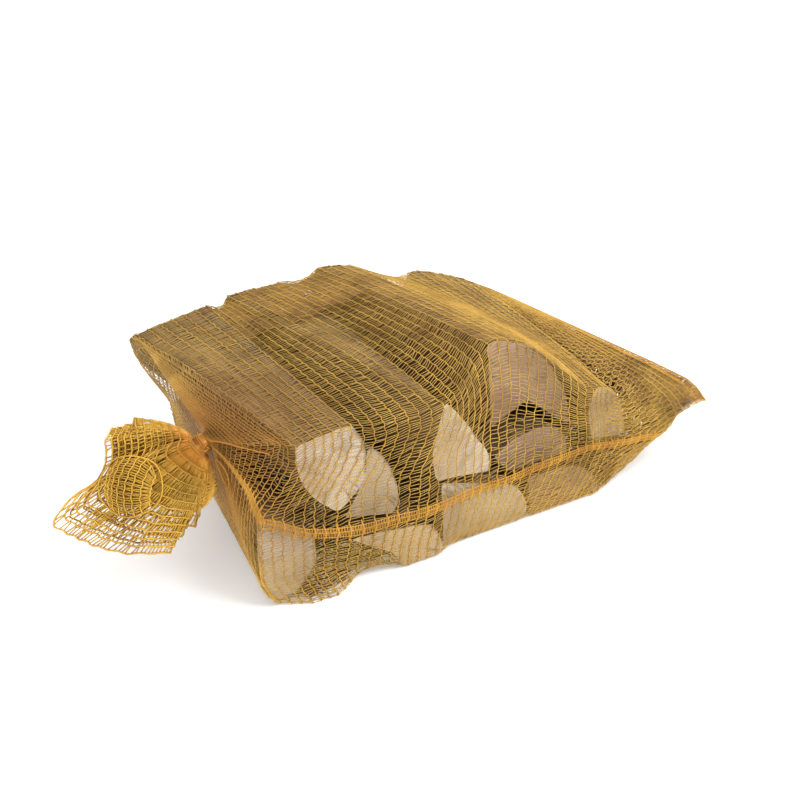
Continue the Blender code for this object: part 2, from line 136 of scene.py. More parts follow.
class Graph:
    """The node tree of one material, ending in a Principled shader."""

    def __init__(self, name: str) -> None:
        """Makes the material.

        Args:
            name: name of the material.
        """
        self.material = bpy.data.materials.new(name)
        self.material.use_nodes = True
        self.tree = self.material.node_tree
        self.shader = self.tree.nodes["Principled BSDF"]

    def node(
        self,
        kind: str,
        settings: dict[str, Any],
        inputs: dict[Union[int, str], Any],
        output: Union[int, str] = 0,
    ) -> Value:
        """Adds a node, sets it up and links it.

        Args:
            kind: the node's type.
            settings: its properties, set first.
            inputs: a value, a colour or a link for each socket that isn't left as it is.
            output: the socket that is returned.

        Returns:
            The chosen output.
        """
        made = self.tree.nodes.new(kind)
        for name, setting in settings.items():
            setattr(made, name, setting)
        for name, given in inputs.items():
            if isinstance(given, Value):
                self.tree.links.new(given.socket, made.inputs[name])
            else:
                made.inputs[name].default_value = given
        return Value(self, made.outputs[output])

    def uv(self, name: str) -> Value:
        """The piece's own UV map of that name."""
        return self.node("ShaderNodeUVMap", {"uv_map": name}, {})

    def attribute(self, name: str) -> Value:
        """One number that the mesh holds at each point."""
        return self.node("ShaderNodeAttribute", {"attribute_name": name}, {}, "Fac")

    def place(self) -> Value:
        """Object coordinates, in metres."""
        return self.node("ShaderNodeTexCoord", {}, {}, "Object")

    def scaled(self, vector: Value, scale: tuple[float, float, float], shift: float = 0.0) -> Value:
        """A vector moved and stretched along its axes.

        Args:
            vector: what is stretched.
            scale: factor along each axis.
            shift: how far it is moved along all axes.

        Returns:
            The mapped vector.
        """
        return self.node(
            "ShaderNodeMapping", {}, {"Vector": vector, "Scale": scale, "Location": (shift,) * 3}
        )

    def noise(self, vector: Value, scale: float, detail: float = 3.0, rough: float = 0.55) -> Value:
        """Fractal noise between about 0.25 and 0.75.

        Args:
            vector: where it is read.
            scale: features for each unit of the vector.
            detail: octaves.
            rough: strength of each finer octave.

        Returns:
            The noise value.
        """
        return self.node(
            "ShaderNodeTexNoise",
            {},
            {"Vector": vector, "Scale": scale, "Detail": detail, "Roughness": rough},
        )

    def mix(self, share: Union[Value, Number], first: Any, second: Any) -> Value:
        """Mixes two colours.

        Args:
            share: how much of the second.
            first: a colour or a link.
            second: a colour or a link.

        Returns:
            The mixed colour.
        """
        made = self.tree.nodes.new("ShaderNodeMix")
        made.data_type = "RGBA"
        colours = [socket for socket in made.inputs if socket.type == "RGBA"]
        factor = [socket for socket in made.inputs if socket.type == "VALUE"][0]
        for socket, given in ((factor, share), (colours[0], first), (colours[1], second)):
            if isinstance(given, Value):
                self.tree.links.new(given.socket, socket)
            else:
                socket.default_value = (*given, 1.0) if isinstance(given, tuple) else given
        return Value(self, [socket for socket in made.outputs if socket.type == "RGBA"][0])

    def finish(self, colour: Value, roughness: Union[Value, Number], height: Value, depth: float) -> Any:
        """Links the shader's varying sockets.

        Args:
            colour: base colour.
            roughness: roughness, as a value or a link.
            height: relief, from 0 to 1.
            depth: depth of the relief in metres.

        Returns:
            The material.
        """
        self.tree.links.new(colour.socket, self.shader.inputs["Base Color"])
        if isinstance(roughness, Value):
            self.tree.links.new(roughness.socket, self.shader.inputs["Roughness"])
        else:
            self.shader.inputs["Roughness"].default_value = roughness
        bump = self.node(
            "ShaderNodeBump", {}, {"Height": height, "Strength": 1.0, "Distance": depth}
        )
        self.tree.links.new(bump.socket, self.shader.inputs["Normal"])
        return self.material


# Finishes


Colour = tuple[float, float, float]


@dataclass(frozen=True)
class WoodFinish:
    """Colours of one kind of split wood: its split faces, its sawn ends and its bark."""

    name: str
    fibre: Colour
    fibre_dark: Colour
    sapwood: Colour
    heartwood: Colour
    bark: Colour
    bark_dark: Colour
    fibre_width: float = 1.1 * MM
    fibre_stretch: float = 0.035
    streaks_per_metre: float = 90.0
    streak_stretch: float = 0.12
    blotches_per_metre: float = 22.0
    plates_per_metre: float = 160.0
    plate_stretch: float = 0.45
    lichen_per_metre: float = 55.0
    side_roughness: float = 0.86
    side_relief: float = 0.8 * MM
    ring_step: float = 2.4 * MM
    ring_wobble: float = 9.0
    ring_sharpness: float = 2.5
    cuts_per_metre: float = 1300.0
    cut_stretch: float = 0.10
    patches_per_metre: float = 42.0
    pores_per_metre: float = 900.0
    heart_edge: tuple[float, float] = (0.040, 0.062)
    end_roughness: float = 0.9
    end_relief: float = 0.5 * MM

    def side(self) -> Any:
        """Fibres run along the log: noise stretched about 30 times along it, over slow streaks,
        with scaly bark and lichen where the log has kept its bark.

        Returns:
            The material of the split faces and of the bark.
        """
        graph = Graph(self.name + "_split")
        grain = graph.uv("grain")
        long_grain = graph.scaled(grain, (1.0, self.fibre_stretch, 1.0))
        fibres = graph.noise(long_grain, 1.0 / self.fibre_width, 4.0, 0.6)
        streaked = graph.scaled(grain, (1.0, self.streak_stretch, 1.0), 3.7)
        streaks = graph.noise(streaked, self.streaks_per_metre, 3.0)
        blotches = graph.noise(grain, self.blotches_per_metre, 3.0)
        bark = graph.attribute("bark")
        hollow_shade = graph.attribute("hollow")
        share = (fibres.ramp(0.36, 0.66) * 0.55 + streaks.ramp(0.35, 0.68) * 0.6).clamped()
        wood = graph.mix(share, self.fibre, self.fibre_dark)
        wood = graph.mix(blotches.ramp(0.5, 0.72) * 0.45, wood, tuple(1.3 * part for part in self.fibre))
        # painted shade: shelves on the split faces and cracks in the bark darken with how hollow they are
        wood = graph.mix(hollow_shade * 0.55, wood, tuple(0.45 * part for part in self.fibre_dark))
        plated = graph.scaled(grain, (1.0, self.plate_stretch, 1.0), 1.3)
        scales = graph.noise(plated, self.plates_per_metre, 5.0, 0.65)
        rind = graph.mix(scales.ramp(0.38, 0.62), self.bark_dark, self.bark)
        lichen = graph.noise(grain, self.lichen_per_metre, 4.0).ramp(0.56, 0.68)
        rind = graph.mix(lichen * 0.4, rind, tuple(min(1.0, 1.6 * part + 0.02) for part in self.bark))
        colour = graph.mix(bark, wood, rind)
        height = fibres * (1.0 - bark) + scales * bark
        return graph.finish(colour, self.side_roughness, height, self.side_relief)

    def end(self) -> Any:
        """Growth rings about the pith, which is the zero of the UV map: a sine of the distance
        from it, bent by noise, with pale sapwood outside, darker heartwood inside and fine checks.

        Returns:
            The material of the sawn ends.
        """
        graph = Graph(self.name + "_end")
        grain = graph.uv("grain")
        length = graph.node("ShaderNodeVectorMath", {"operation": "LENGTH"}, {0: grain}, "Value")
        wobble = graph.noise(grain, 30.0, 3.0)
        turns = length * (2.0 * math.pi / self.ring_step) + wobble * self.ring_wobble
        rings = (turns.sine() * 0.5 + 0.5) ** self.ring_sharpness
        cut = graph.noise(graph.scaled(grain, (self.cut_stretch, 1.0, 1.0), 2.1), self.cuts_per_metre, 2.0)
        patches = graph.noise(grain, self.patches_per_metre, 4.0)
        pores = graph.noise(grain, self.pores_per_metre, 2.0)
        heart = 1.0 - (length + patches * 0.03).ramp(*self.heart_edge)
        colour = graph.mix(heart * 0.8, self.sapwood, self.heartwood)
        colour = graph.mix(rings * 0.30, colour, tuple(0.62 * part for part in self.heartwood))
        colour = graph.mix(patches.ramp(0.52, 0.70) * 0.35, colour, self.fibre_dark)
        colour = graph.mix(cut.ramp(0.45, 0.68) * 0.22, colour, tuple(0.7 * part for part in self.sapwood))
        # painted shade inside the radial checks: they darken with their hollowness
        checks = graph.attribute("hollow")
        colour = graph.mix(checks * 0.6, colour, tuple(0.4 * part for part in self.fibre_dark))
        rim = graph.attribute("bark")
        colour = graph.mix(rim, colour, self.bark_dark)
        height = rings * 0.4 + cut * 0.8 + pores * 0.5
        return graph.finish(colour, self.end_roughness, height, self.end_relief)


class Tone(Enum):
    """The kinds of wood in the bundle."""

    CREAM = WoodFinish(
        "cream_wood",
        fibre=(0.31, 0.195, 0.080),
        fibre_dark=(0.10, 0.055, 0.020),
        sapwood=(0.66, 0.57, 0.44),
        heartwood=(0.56, 0.44, 0.31),
        bark=(0.15, 0.10, 0.06),
        bark_dark=(0.04, 0.026, 0.016),
    )
    TAN = WoodFinish(
        "tan_wood",
        fibre=(0.24, 0.125, 0.052),
        fibre_dark=(0.085, 0.038, 0.016),
        sapwood=(0.43, 0.29, 0.185),
        heartwood=(0.32, 0.19, 0.115),
        bark=(0.19, 0.085, 0.048),
        bark_dark=(0.055, 0.024, 0.015),
    )
    GREY = WoodFinish(
        "grey_wood",
        fibre=(0.21, 0.130, 0.060),
        fibre_dark=(0.080, 0.045, 0.020),
        sapwood=(0.64, 0.51, 0.36),
        heartwood=(0.52, 0.39, 0.26),
        bark=(0.11, 0.07, 0.04),
        bark_dark=(0.04, 0.03, 0.02),
    )
    BROWN = WoodFinish(
        "brown_wood",
        fibre=(0.19, 0.11, 0.055),
        fibre_dark=(0.07, 0.038, 0.018),
        sapwood=(0.40, 0.27, 0.185),
        heartwood=(0.30, 0.19, 0.125),
        bark=(0.12, 0.075, 0.045),
        bark_dark=(0.035, 0.022, 0.014),
    )


@dataclass(frozen=True)
class ThreadFinish:
    """A glossy plastic thread whose colour shifts along its length and turns orange and darker at the neck,
    partly as painted shade over the gathers.
    """

    name: str
    colour: Colour
    colour_dark: Colour
    roughness: float = 0.42
    twist: float = 900.0
    patches_per_metre: float = 26.0
    relief: float = 0.25 * MM
    neck: tuple[float, float, float] = (-0.2085, -0.0882, 0.149)
    # orange of the gathered thread at the neck, darkened as painted shade over the gathers
    neck_tint_and_shade: Colour = (0.40, 0.165, 0.018)
    neck_reach: float = 0.16
    neck_share: float = 0.85

    def material(self) -> Any:
        """The mix of both colours follows noise over the bag, with fine relief of the strands; the
        neck's tint, partly painted shade over the gathers, fades out with the distance from the neck.

        Returns:
            The material.
        """
        graph = Graph(self.name)
        place = graph.place()
        patches = graph.noise(place, self.patches_per_metre, 3.0)
        strands = graph.noise(place, self.twist, 2.0)
        share = (patches.ramp(0.40, 0.66) * 0.6 + strands.ramp(0.42, 0.62) * 0.4).clamped()
        colour = graph.mix(share, self.colour, self.colour_dark)
        # painted shade and orange tint: the colour moves towards the neck's as the distance to the neck falls
        off = graph.node("ShaderNodeVectorMath", {"operation": "DISTANCE"}, {0: place, 1: self.neck}, "Value")
        near = 1.0 - (off + (patches - 0.5) * 0.03).ramp(0.2 * self.neck_reach, self.neck_reach)
        colour = graph.mix(near * self.neck_share, colour, self.neck_tint_and_shade)
        return graph.finish(colour, self.roughness, strands, self.relief)


@dataclass(frozen=True)
class FloorFinish:
    """A matt pale floor that glows a little, so that it stays white under soft light."""

    colour: Colour = (0.90, 0.90, 0.90)
    cloud_colour: Colour = (0.873, 0.873, 0.873)
    clouds_per_metre: float = 3.0
    roughness: float = 0.9
    relief: float = 0.01 * MM
    glow: float = 0.22

    def material(self) -> Any:
        """A nearly flat colour with a very faint cloud in it.

        Returns:
            The material.
        """
        graph = Graph("pale_floor")
        cloud = graph.noise(graph.place(), self.clouds_per_metre, 2.0)
        colour = graph.mix(cloud.ramp(0.3, 0.7) * 0.1, self.colour, self.cloud_colour)
        graph.shader.inputs["Emission Color"].default_value = (1.0, 1.0, 1.0, 1.0)
        graph.shader.inputs["Emission Strength"].default_value = self.glow
        return graph.finish(colour, self.roughness, cloud, self.relief)


# Mesh helpers


def value_noise(u: np.ndarray, v: np.ndarray, period: int, seed: int) -> np.ndarray:
    """Smooth noise from 0 to 1: random numbers on a lattice, eased between its points.

    Args:
        u: place in lattice steps, periodic with the period.
        v: place in lattice steps.
        period: lattice steps after which u repeats.
        seed: seed of the lattice.

    Returns:
        The noise at each place.
    """
    rows = int(np.floor(v.max() - v.min())) + 3
    lattice = np.random.default_rng(seed).random((period, rows))
    v = v - v.min()
    i, j = np.floor(u).astype(int), np.floor(v).astype(int)
    a, b = u - i, v - j
    a, b = a * a * (3.0 - 2.0 * a), b * b * (3.0 - 2.0 * b)
    i0, i1 = i % period, (i + 1) % period
    low = lattice[i0, j] * (1.0 - a) + lattice[i1, j] * a
    high = lattice[i0, j + 1] * (1.0 - a) + lattice[i1, j + 1] * a
    return low * (1.0 - b) + high * b


def smooth_step(value: np.ndarray, low: float, high: float) -> np.ndarray:
    """Rises smoothly from 0 at the low value to 1 at the high one."""
    share = np.clip((value - low) / (high - low), 0.0, 1.0)
    return share * share * (3.0 - 2.0 * share)


def unit(vectors: np.ndarray) -> np.ndarray:
    """Each vector divided by its length."""
    return vectors / np.maximum(np.linalg.norm(vectors, axis=-1, keepdims=True), 1e-12)


def grid_faces(rows: int, columns: int, start: int = 0) -> np.ndarray:
    """Quads between the rows of a grid that is closed round its columns.

    Args:
        rows: rows of the grid.
        columns: columns of the grid.
        start: index of its first point.

    Returns:
        Point indices of each quad.
    """
    index = start + np.arange(rows * columns).reshape(rows, columns)
    after = np.roll(index, -1, 1)
    return np.stack([index[:-1], after[:-1], after[1:], index[1:]], axis=-1).reshape(-1, 4)


def make_piece(name: str, points: np.ndarray, faces: list[np.ndarray], materials: list[Any]) -> Any:
    """Puts a smooth mesh of triangles and quads into a new object at the origin.

    Args:
        name: name of the piece.
        points: its points, in metres.
        faces: arrays of faces, each of one size; the materials are used in their order.
        materials: a material for each array of faces.

    Returns:
        The object.
    """
    mesh = bpy.data.meshes.new(name)
    mesh.vertices.add(len(points))
    mesh.vertices.foreach_set("co", np.ascontiguousarray(points, np.float32).ravel())
    sizes = np.concatenate([np.full(len(part), part.shape[1]) for part in faces])
    corners = np.concatenate([part.ravel() for part in faces])
    mesh.loops.add(len(corners))
    mesh.polygons.add(len(sizes))
    starts = np.concatenate([[0], np.cumsum(sizes)[:-1]])
    mesh.polygons.foreach_set("loop_start", starts.astype(np.int32))
    mesh.loops.foreach_set("vertex_index", corners.astype(np.int32))
    order = list(dict.fromkeys(materials))
    for material in order:
        mesh.materials.append(material)
    chosen = np.concatenate([np.full(len(part), order.index(m)) for part, m in zip(faces, materials)])
    mesh.polygons.foreach_set("material_index", chosen.astype(np.int32))
    mesh.polygons.foreach_set("use_smooth", np.ones(len(sizes), bool))
    mesh.update(calc_edges=True)
    mesh.validate()
    piece = bpy.data.objects.new(name, mesh)
    bpy.context.scene.collection.objects.link(piece)
    return piece


def set_map(piece: Any, name: str, uv: np.ndarray) -> None:
    """Writes a UV map given at the points.

    Args:
        piece: the object.
        name: name of the map.
        uv: two numbers for each point.
    """
    mesh = piece.data
    corner = np.empty(len(mesh.loops), np.int32)
    mesh.loops.foreach_get("vertex_index", corner)
    layer = mesh.uv_layers.new(name=name)
    layer.data.foreach_set("uv", uv[corner].astype(np.float32).ravel())


def set_number(piece: Any, name: str, values: np.ndarray) -> None:
    """Writes one number for each point as an attribute of that name."""
    layer = piece.data.attributes.new(name, "FLOAT", "POINT")
    layer.data.foreach_set("value", values.astype(np.float32))


def fit_to_bundle(piece: Any, node: str) -> Any:
    """Hangs a finished piece on the frame.

    Args:
        piece: the object.
        node: node of the frame that it stands for.

    Returns:
        The same object.
    """
    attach(piece, BODY)
    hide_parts(node)
    return piece


def node_points(name: str) -> np.ndarray:
    """Reads a node of the frame.

    Args:
        name: name of the node.

    Returns:
        Its points, in metres.
    """
    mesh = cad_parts[name].data
    points = np.empty(len(mesh.vertices) * 3, np.float32)
    mesh.vertices.foreach_get("co", points)
    return points.reshape(-1, 3).astype(float)


# Logs


@dataclass
class SplitLog:
    """One split log: fibrous split faces, bark on its round side and two sawn ends."""

    node: str
    tone: Tone
    bark_from: float
    bark_to: float
    seed: int
    around: int = 112
    along: int = 52
    end_rings: int = 10
    ray_inset: float = 0.02 * MM
    fibre_width: float = 2.2 * MM
    fibre_length: float = 45.0 * MM
    fibre_depth: float = 0.9 * MM
    shelf_width: float = 14.0 * MM
    shelf_length: float = 160.0 * MM
    shelf_depth: float = 1.6 * MM
    plate_width: float = 7.0 * MM
    plate_length: float = 16.0 * MM
    bark_depth: float = 1.6 * MM
    drift_periods: int = 6
    drift_length: float = 110.0 * MM
    drift: float = 0.03
    worn_edge: float = 4.0 * MM
    edge_inset: float = 0.25 * MM
    most_depth: float = 0.25
    checks: int = 5
    check_reach: tuple[float, float] = (0.25, 0.7)
    check_depth: float = 1.4 * MM
    saw_step: int = 6
    saw_rings: float = 5.0
    saw_depth: float = 0.5 * MM
    pith_depth: float = 0.3 * MM
    pith_reach: float = 1.1

    def outline(self) -> tuple[np.ndarray, np.ndarray, np.ndarray]:
        """Reads the log's own solid: rays from its middle line find its surface.

        Returns:
            The middle of each cross-section (x, y, z), the directions of the rays, and the
            distance to the surface for each section and direction.
        """
        points = node_points(self.node)
        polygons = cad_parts[self.node].data.polygons
        tree = BVHTree.FromPolygons(points.tolist(), [tuple(face.vertices) for face in polygons])
        front, back = points[:, 1].min(), points[:, 1].max()
        ends = [points[np.abs(points[:, 1] - y) < 1e-5] for y in (front, back)]
        middles = [0.5 * (end.min(0) + end.max(0)) for end in ends]
        share = np.linspace(0.0, 1.0, self.along)[:, None]
        centres = middles[0] + (middles[1] - middles[0]) * share
        angle = np.arange(self.around) * 2.0 * np.pi / self.around
        rays = np.column_stack([np.cos(angle), np.zeros(self.around), np.sin(angle)])
        inside = centres.copy()
        inside[:, 1] = np.clip(inside[:, 1], front + self.ray_inset, back - self.ray_inset)
        reach = [
            tree.ray_cast(Vector(centre), Vector(ray))[3] or 0.0 for centre in inside for ray in rays
        ]
        return centres, rays, np.array(reach).reshape(self.along, self.around)

    def barked(self) -> np.ndarray:
        """Where bark is left: between the two bark angles, eased at their ends.

        Returns:
            The share of bark at each direction, from 0 to 1.
        """
        angle = np.degrees(np.arange(self.around) * 2.0 * np.pi / self.around)
        half = 0.5 * ((self.bark_to - self.bark_from) % 360.0)
        middle = self.bark_from + half
        off = np.abs((angle - middle + 180.0) % 360.0 - 180.0)
        return 1.0 - smooth_step(off, half - 4.0, half + 3.0) if half > 0.0 else np.zeros(self.around)

    def relief(self, reach: np.ndarray, run: np.ndarray, y: np.ndarray) -> tuple[np.ndarray, np.ndarray]:
        """Depth below the solid's surface: fine fibres and long shelves on the split faces, plates
        and cracks on the bark, all as lattice noise that is long along the log.

        Args:
            reach: distance of the surface from the middle line.
            run: distance round the section at each direction.
            y: place along the log of each section.

        Returns:
            The depth in metres, and how hollow each place is, from 0 to 1.
        """
        bark = self.barked()[None, :] * np.ones_like(reach)
        round_it = run[:, -1:] + (run[:, -1:] - run[:, -2:-1])
        place = run / round_it
        along = np.repeat(y[:, None], self.around, axis=1) - y[0]
        girth = float(round_it.mean())
        fibres, shelves, plates = (
            int(round(girth / width)) for width in (self.fibre_width, self.shelf_width, self.plate_width)
        )
        bends = value_noise(
            place * self.drift_periods, along / self.drift_length, self.drift_periods, self.seed + 5
        )
        place = place + bends * self.drift
        fine = value_noise(place * fibres, along / self.fibre_length, fibres, self.seed)
        coarse = value_noise(place * shelves, along / self.shelf_length, shelves, self.seed + 1)
        shelf = smooth_step(coarse, 0.50, 0.62)
        wood = self.fibre_depth * fine**2 + self.shelf_depth * shelf * (0.6 + 0.4 * fine)
        plate = value_noise(place * plates, along / self.plate_length, plates, self.seed + 2)
        cracks = 1.0 - smooth_step(np.abs(plate - 0.5), 0.0, 0.16)
        rind = self.bark_depth * (0.35 * fine + 0.65 * cracks)
        depth = wood * (1.0 - bark) + rind * bark
        ends = np.minimum(along, along.max() - along)
        depth = depth * (0.35 + 0.65 * smooth_step(ends, 0.0, self.worn_edge)) + self.edge_inset
        hollow = (1.0 - bark) * shelf * 0.6 + bark * cracks
        return np.minimum(depth, self.most_depth * reach), hollow

    def end_disc(
        self, centre: np.ndarray, rays: np.ndarray, radius: np.ndarray, facing: float
    ) -> tuple[np.ndarray, np.ndarray]:
        """Points of a sawn end inside its rim: the rim shrunk towards the middle in even steps,
        with radial checks, which are narrow wedges that close towards the pith.

        Args:
            centre: middle of the end.
            rays: directions of the rim's points.
            radius: distance of the rim's points.
            facing: -1 for the front end and 1 for the back end.

        Returns:
            The points, ring by ring and then the middle one, and how hollow each is.
        """
        dice = np.random.default_rng(self.seed + 17)
        share = 1.0 - (np.arange(1, self.end_rings) / self.end_rings)
        points = centre + rays[None] * (radius[None, :, None] * share[:, None, None])
        sawn = value_noise(
            np.repeat(np.arange(self.around)[None], len(share), 0) / self.saw_step,
            np.repeat(share[:, None] * self.saw_rings, self.around, 1),
            self.around // self.saw_step,
            self.seed + 9,
        )
        hollow = np.zeros((len(share), self.around))
        for angle in dice.integers(0, self.around, self.checks):
            deep = dice.uniform(*self.check_reach)
            inner = smooth_step(share, 1.0 - deep, 1.0)
            hollow[:, angle] = np.maximum(hollow[:, angle], inner)
        points[..., 1] -= facing * (hollow * self.check_depth + self.saw_depth * sawn)
        last = centre + np.array([0.0, -facing * self.pith_depth, 0.0])
        return np.concatenate([points.reshape(-1, 3), last[None]]), np.append(hollow.ravel(), 0.0)

    def pith(self, centre: np.ndarray, radius: np.ndarray) -> np.ndarray:
        """Finds the pith, which lies away from the bark by a little more than the mean half width.

        Args:
            centre: middle of the end.
            radius: distance of the rim's points.

        Returns:
            The place of the pith.
        """
        half = 0.5 * ((self.bark_to - self.bark_from) % 360.0)
        angle = math.radians(self.bark_from + half + 180.0)
        reach = self.pith_reach * float(radius.mean())
        return centre + reach * np.array([math.cos(angle), 0.0, math.sin(angle)])

    def build(self) -> Any:
        """Builds the log: the tube of its sides, then a disc at each end with its own points.

        Returns:
            The finished piece.
        """
        centres, rays, reach = self.outline()
        raw = centres[:, None] + rays[None] * reach[..., None]
        steps = np.linalg.norm(np.roll(raw, -1, 1) - raw, axis=2)
        run = np.concatenate([np.zeros((self.along, 1)), np.cumsum(steps, 1)[:, :-1]], 1)
        depth, hollow = self.relief(reach, run, centres[:, 1])
        radius = reach - depth
        sides = centres[:, None] + rays[None] * radius[..., None]
        bark = np.repeat(self.barked()[None], self.along, 0)
        side_map = np.stack([run, np.repeat(centres[:, 1:2], self.around, 1)], -1).reshape(-1, 2)
        points, numbers, barks, maps = [sides.reshape(-1, 3)], [hollow.ravel()], [bark.ravel()], [side_map]
        side_faces = grid_faces(self.along, self.around)
        end_faces: list[np.ndarray] = []
        end_fans: list[np.ndarray] = []
        total = self.along * self.around
        for row, facing in ((0, -1.0), (self.along - 1, 1.0)):
            rim = sides[row]
            inner, holes = self.end_disc(centres[row], rays, radius[row], facing)
            disc = np.concatenate([rim, inner])
            pith = self.pith(centres[row], radius[row])
            faces = grid_faces(self.end_rings, self.around, total)
            last = total + (self.end_rings - 1) * self.around + np.arange(self.around)
            tip = np.full(self.around, total + len(disc) - 1)
            fan = np.stack([last, np.roll(last, -1), tip], -1)
            if facing > 0.0:
                faces, fan = faces[:, ::-1], fan[:, ::-1]
            end_faces.append(faces)
            end_fans.append(fan)
            points.append(disc)
            numbers.append(np.concatenate([np.zeros(self.around), holes]))
            edge = np.zeros(len(disc))
            edge[: self.around] = self.barked() * 0.8
            barks.append(edge)
            maps.append((disc - pith)[:, [0, 2]])
            total += len(disc)
        side, end = self.tone.value.side(), self.tone.value.end()
        piece = make_piece(
            self.node.replace("log", "wood"),
            np.concatenate(points),
            [side_faces[:, ::-1], *end_faces, *end_fans],
            [side, end, end, end, end],
        )
        set_map(piece, "grain", np.concatenate(maps))
        set_number(piece, "hollow", np.concatenate(numbers))
        set_number(piece, "bark", np.concatenate(barks))
        return fit_to_bundle(piece, self.node)


@dataclass
class LogPile:
    """All the logs of the bundle."""

    def specs(self) -> list[SplitLog]:
        """The logs with their wood and the directions between which bark is left, seen from the
        front in degrees counter-clockwise from the right."""
        return [
            SplitLog("log_top_left", Tone.CREAM, -20.0, 60.0, 11, around=130, along=60),
            SplitLog("log_top_second", Tone.CREAM, -15.0, 75.0, 12, around=130, along=60),
            SplitLog("log_top_third", Tone.TAN, 5.0, 80.0, 13, around=140, along=60),
            SplitLog("log_top_right", Tone.CREAM, -30.0, 60.0, 14, around=124, along=56),
            SplitLog("log_middle_left", Tone.GREY, -20.0, 80.0, 15),
            SplitLog("log_middle_right", Tone.BROWN, 0.0, 120.0, 16),
            SplitLog("log_bottom_left", Tone.CREAM, -150.0, -60.0, 17, around=124),
            SplitLog("log_bottom_second", Tone.GREY, 0.0, 90.0, 18),
            SplitLog("log_bottom_third", Tone.CREAM, 0.0, 60.0, 19),
            SplitLog("log_bottom_right", Tone.TAN, 0.0, 60.0, 20),
            SplitLog("log_hidden_right", Tone.TAN, -30.0, 60.0, 21, around=90, along=50),
        ]

    def build(self) -> list[Any]:
        """Builds every log.

        Returns:
            The pieces.
        """
        made = []
        for spec in self.specs():
            made.append(spec.build())
            LOGGER.info("piece %s", made[-1].name)
        return made


# The bag's skin


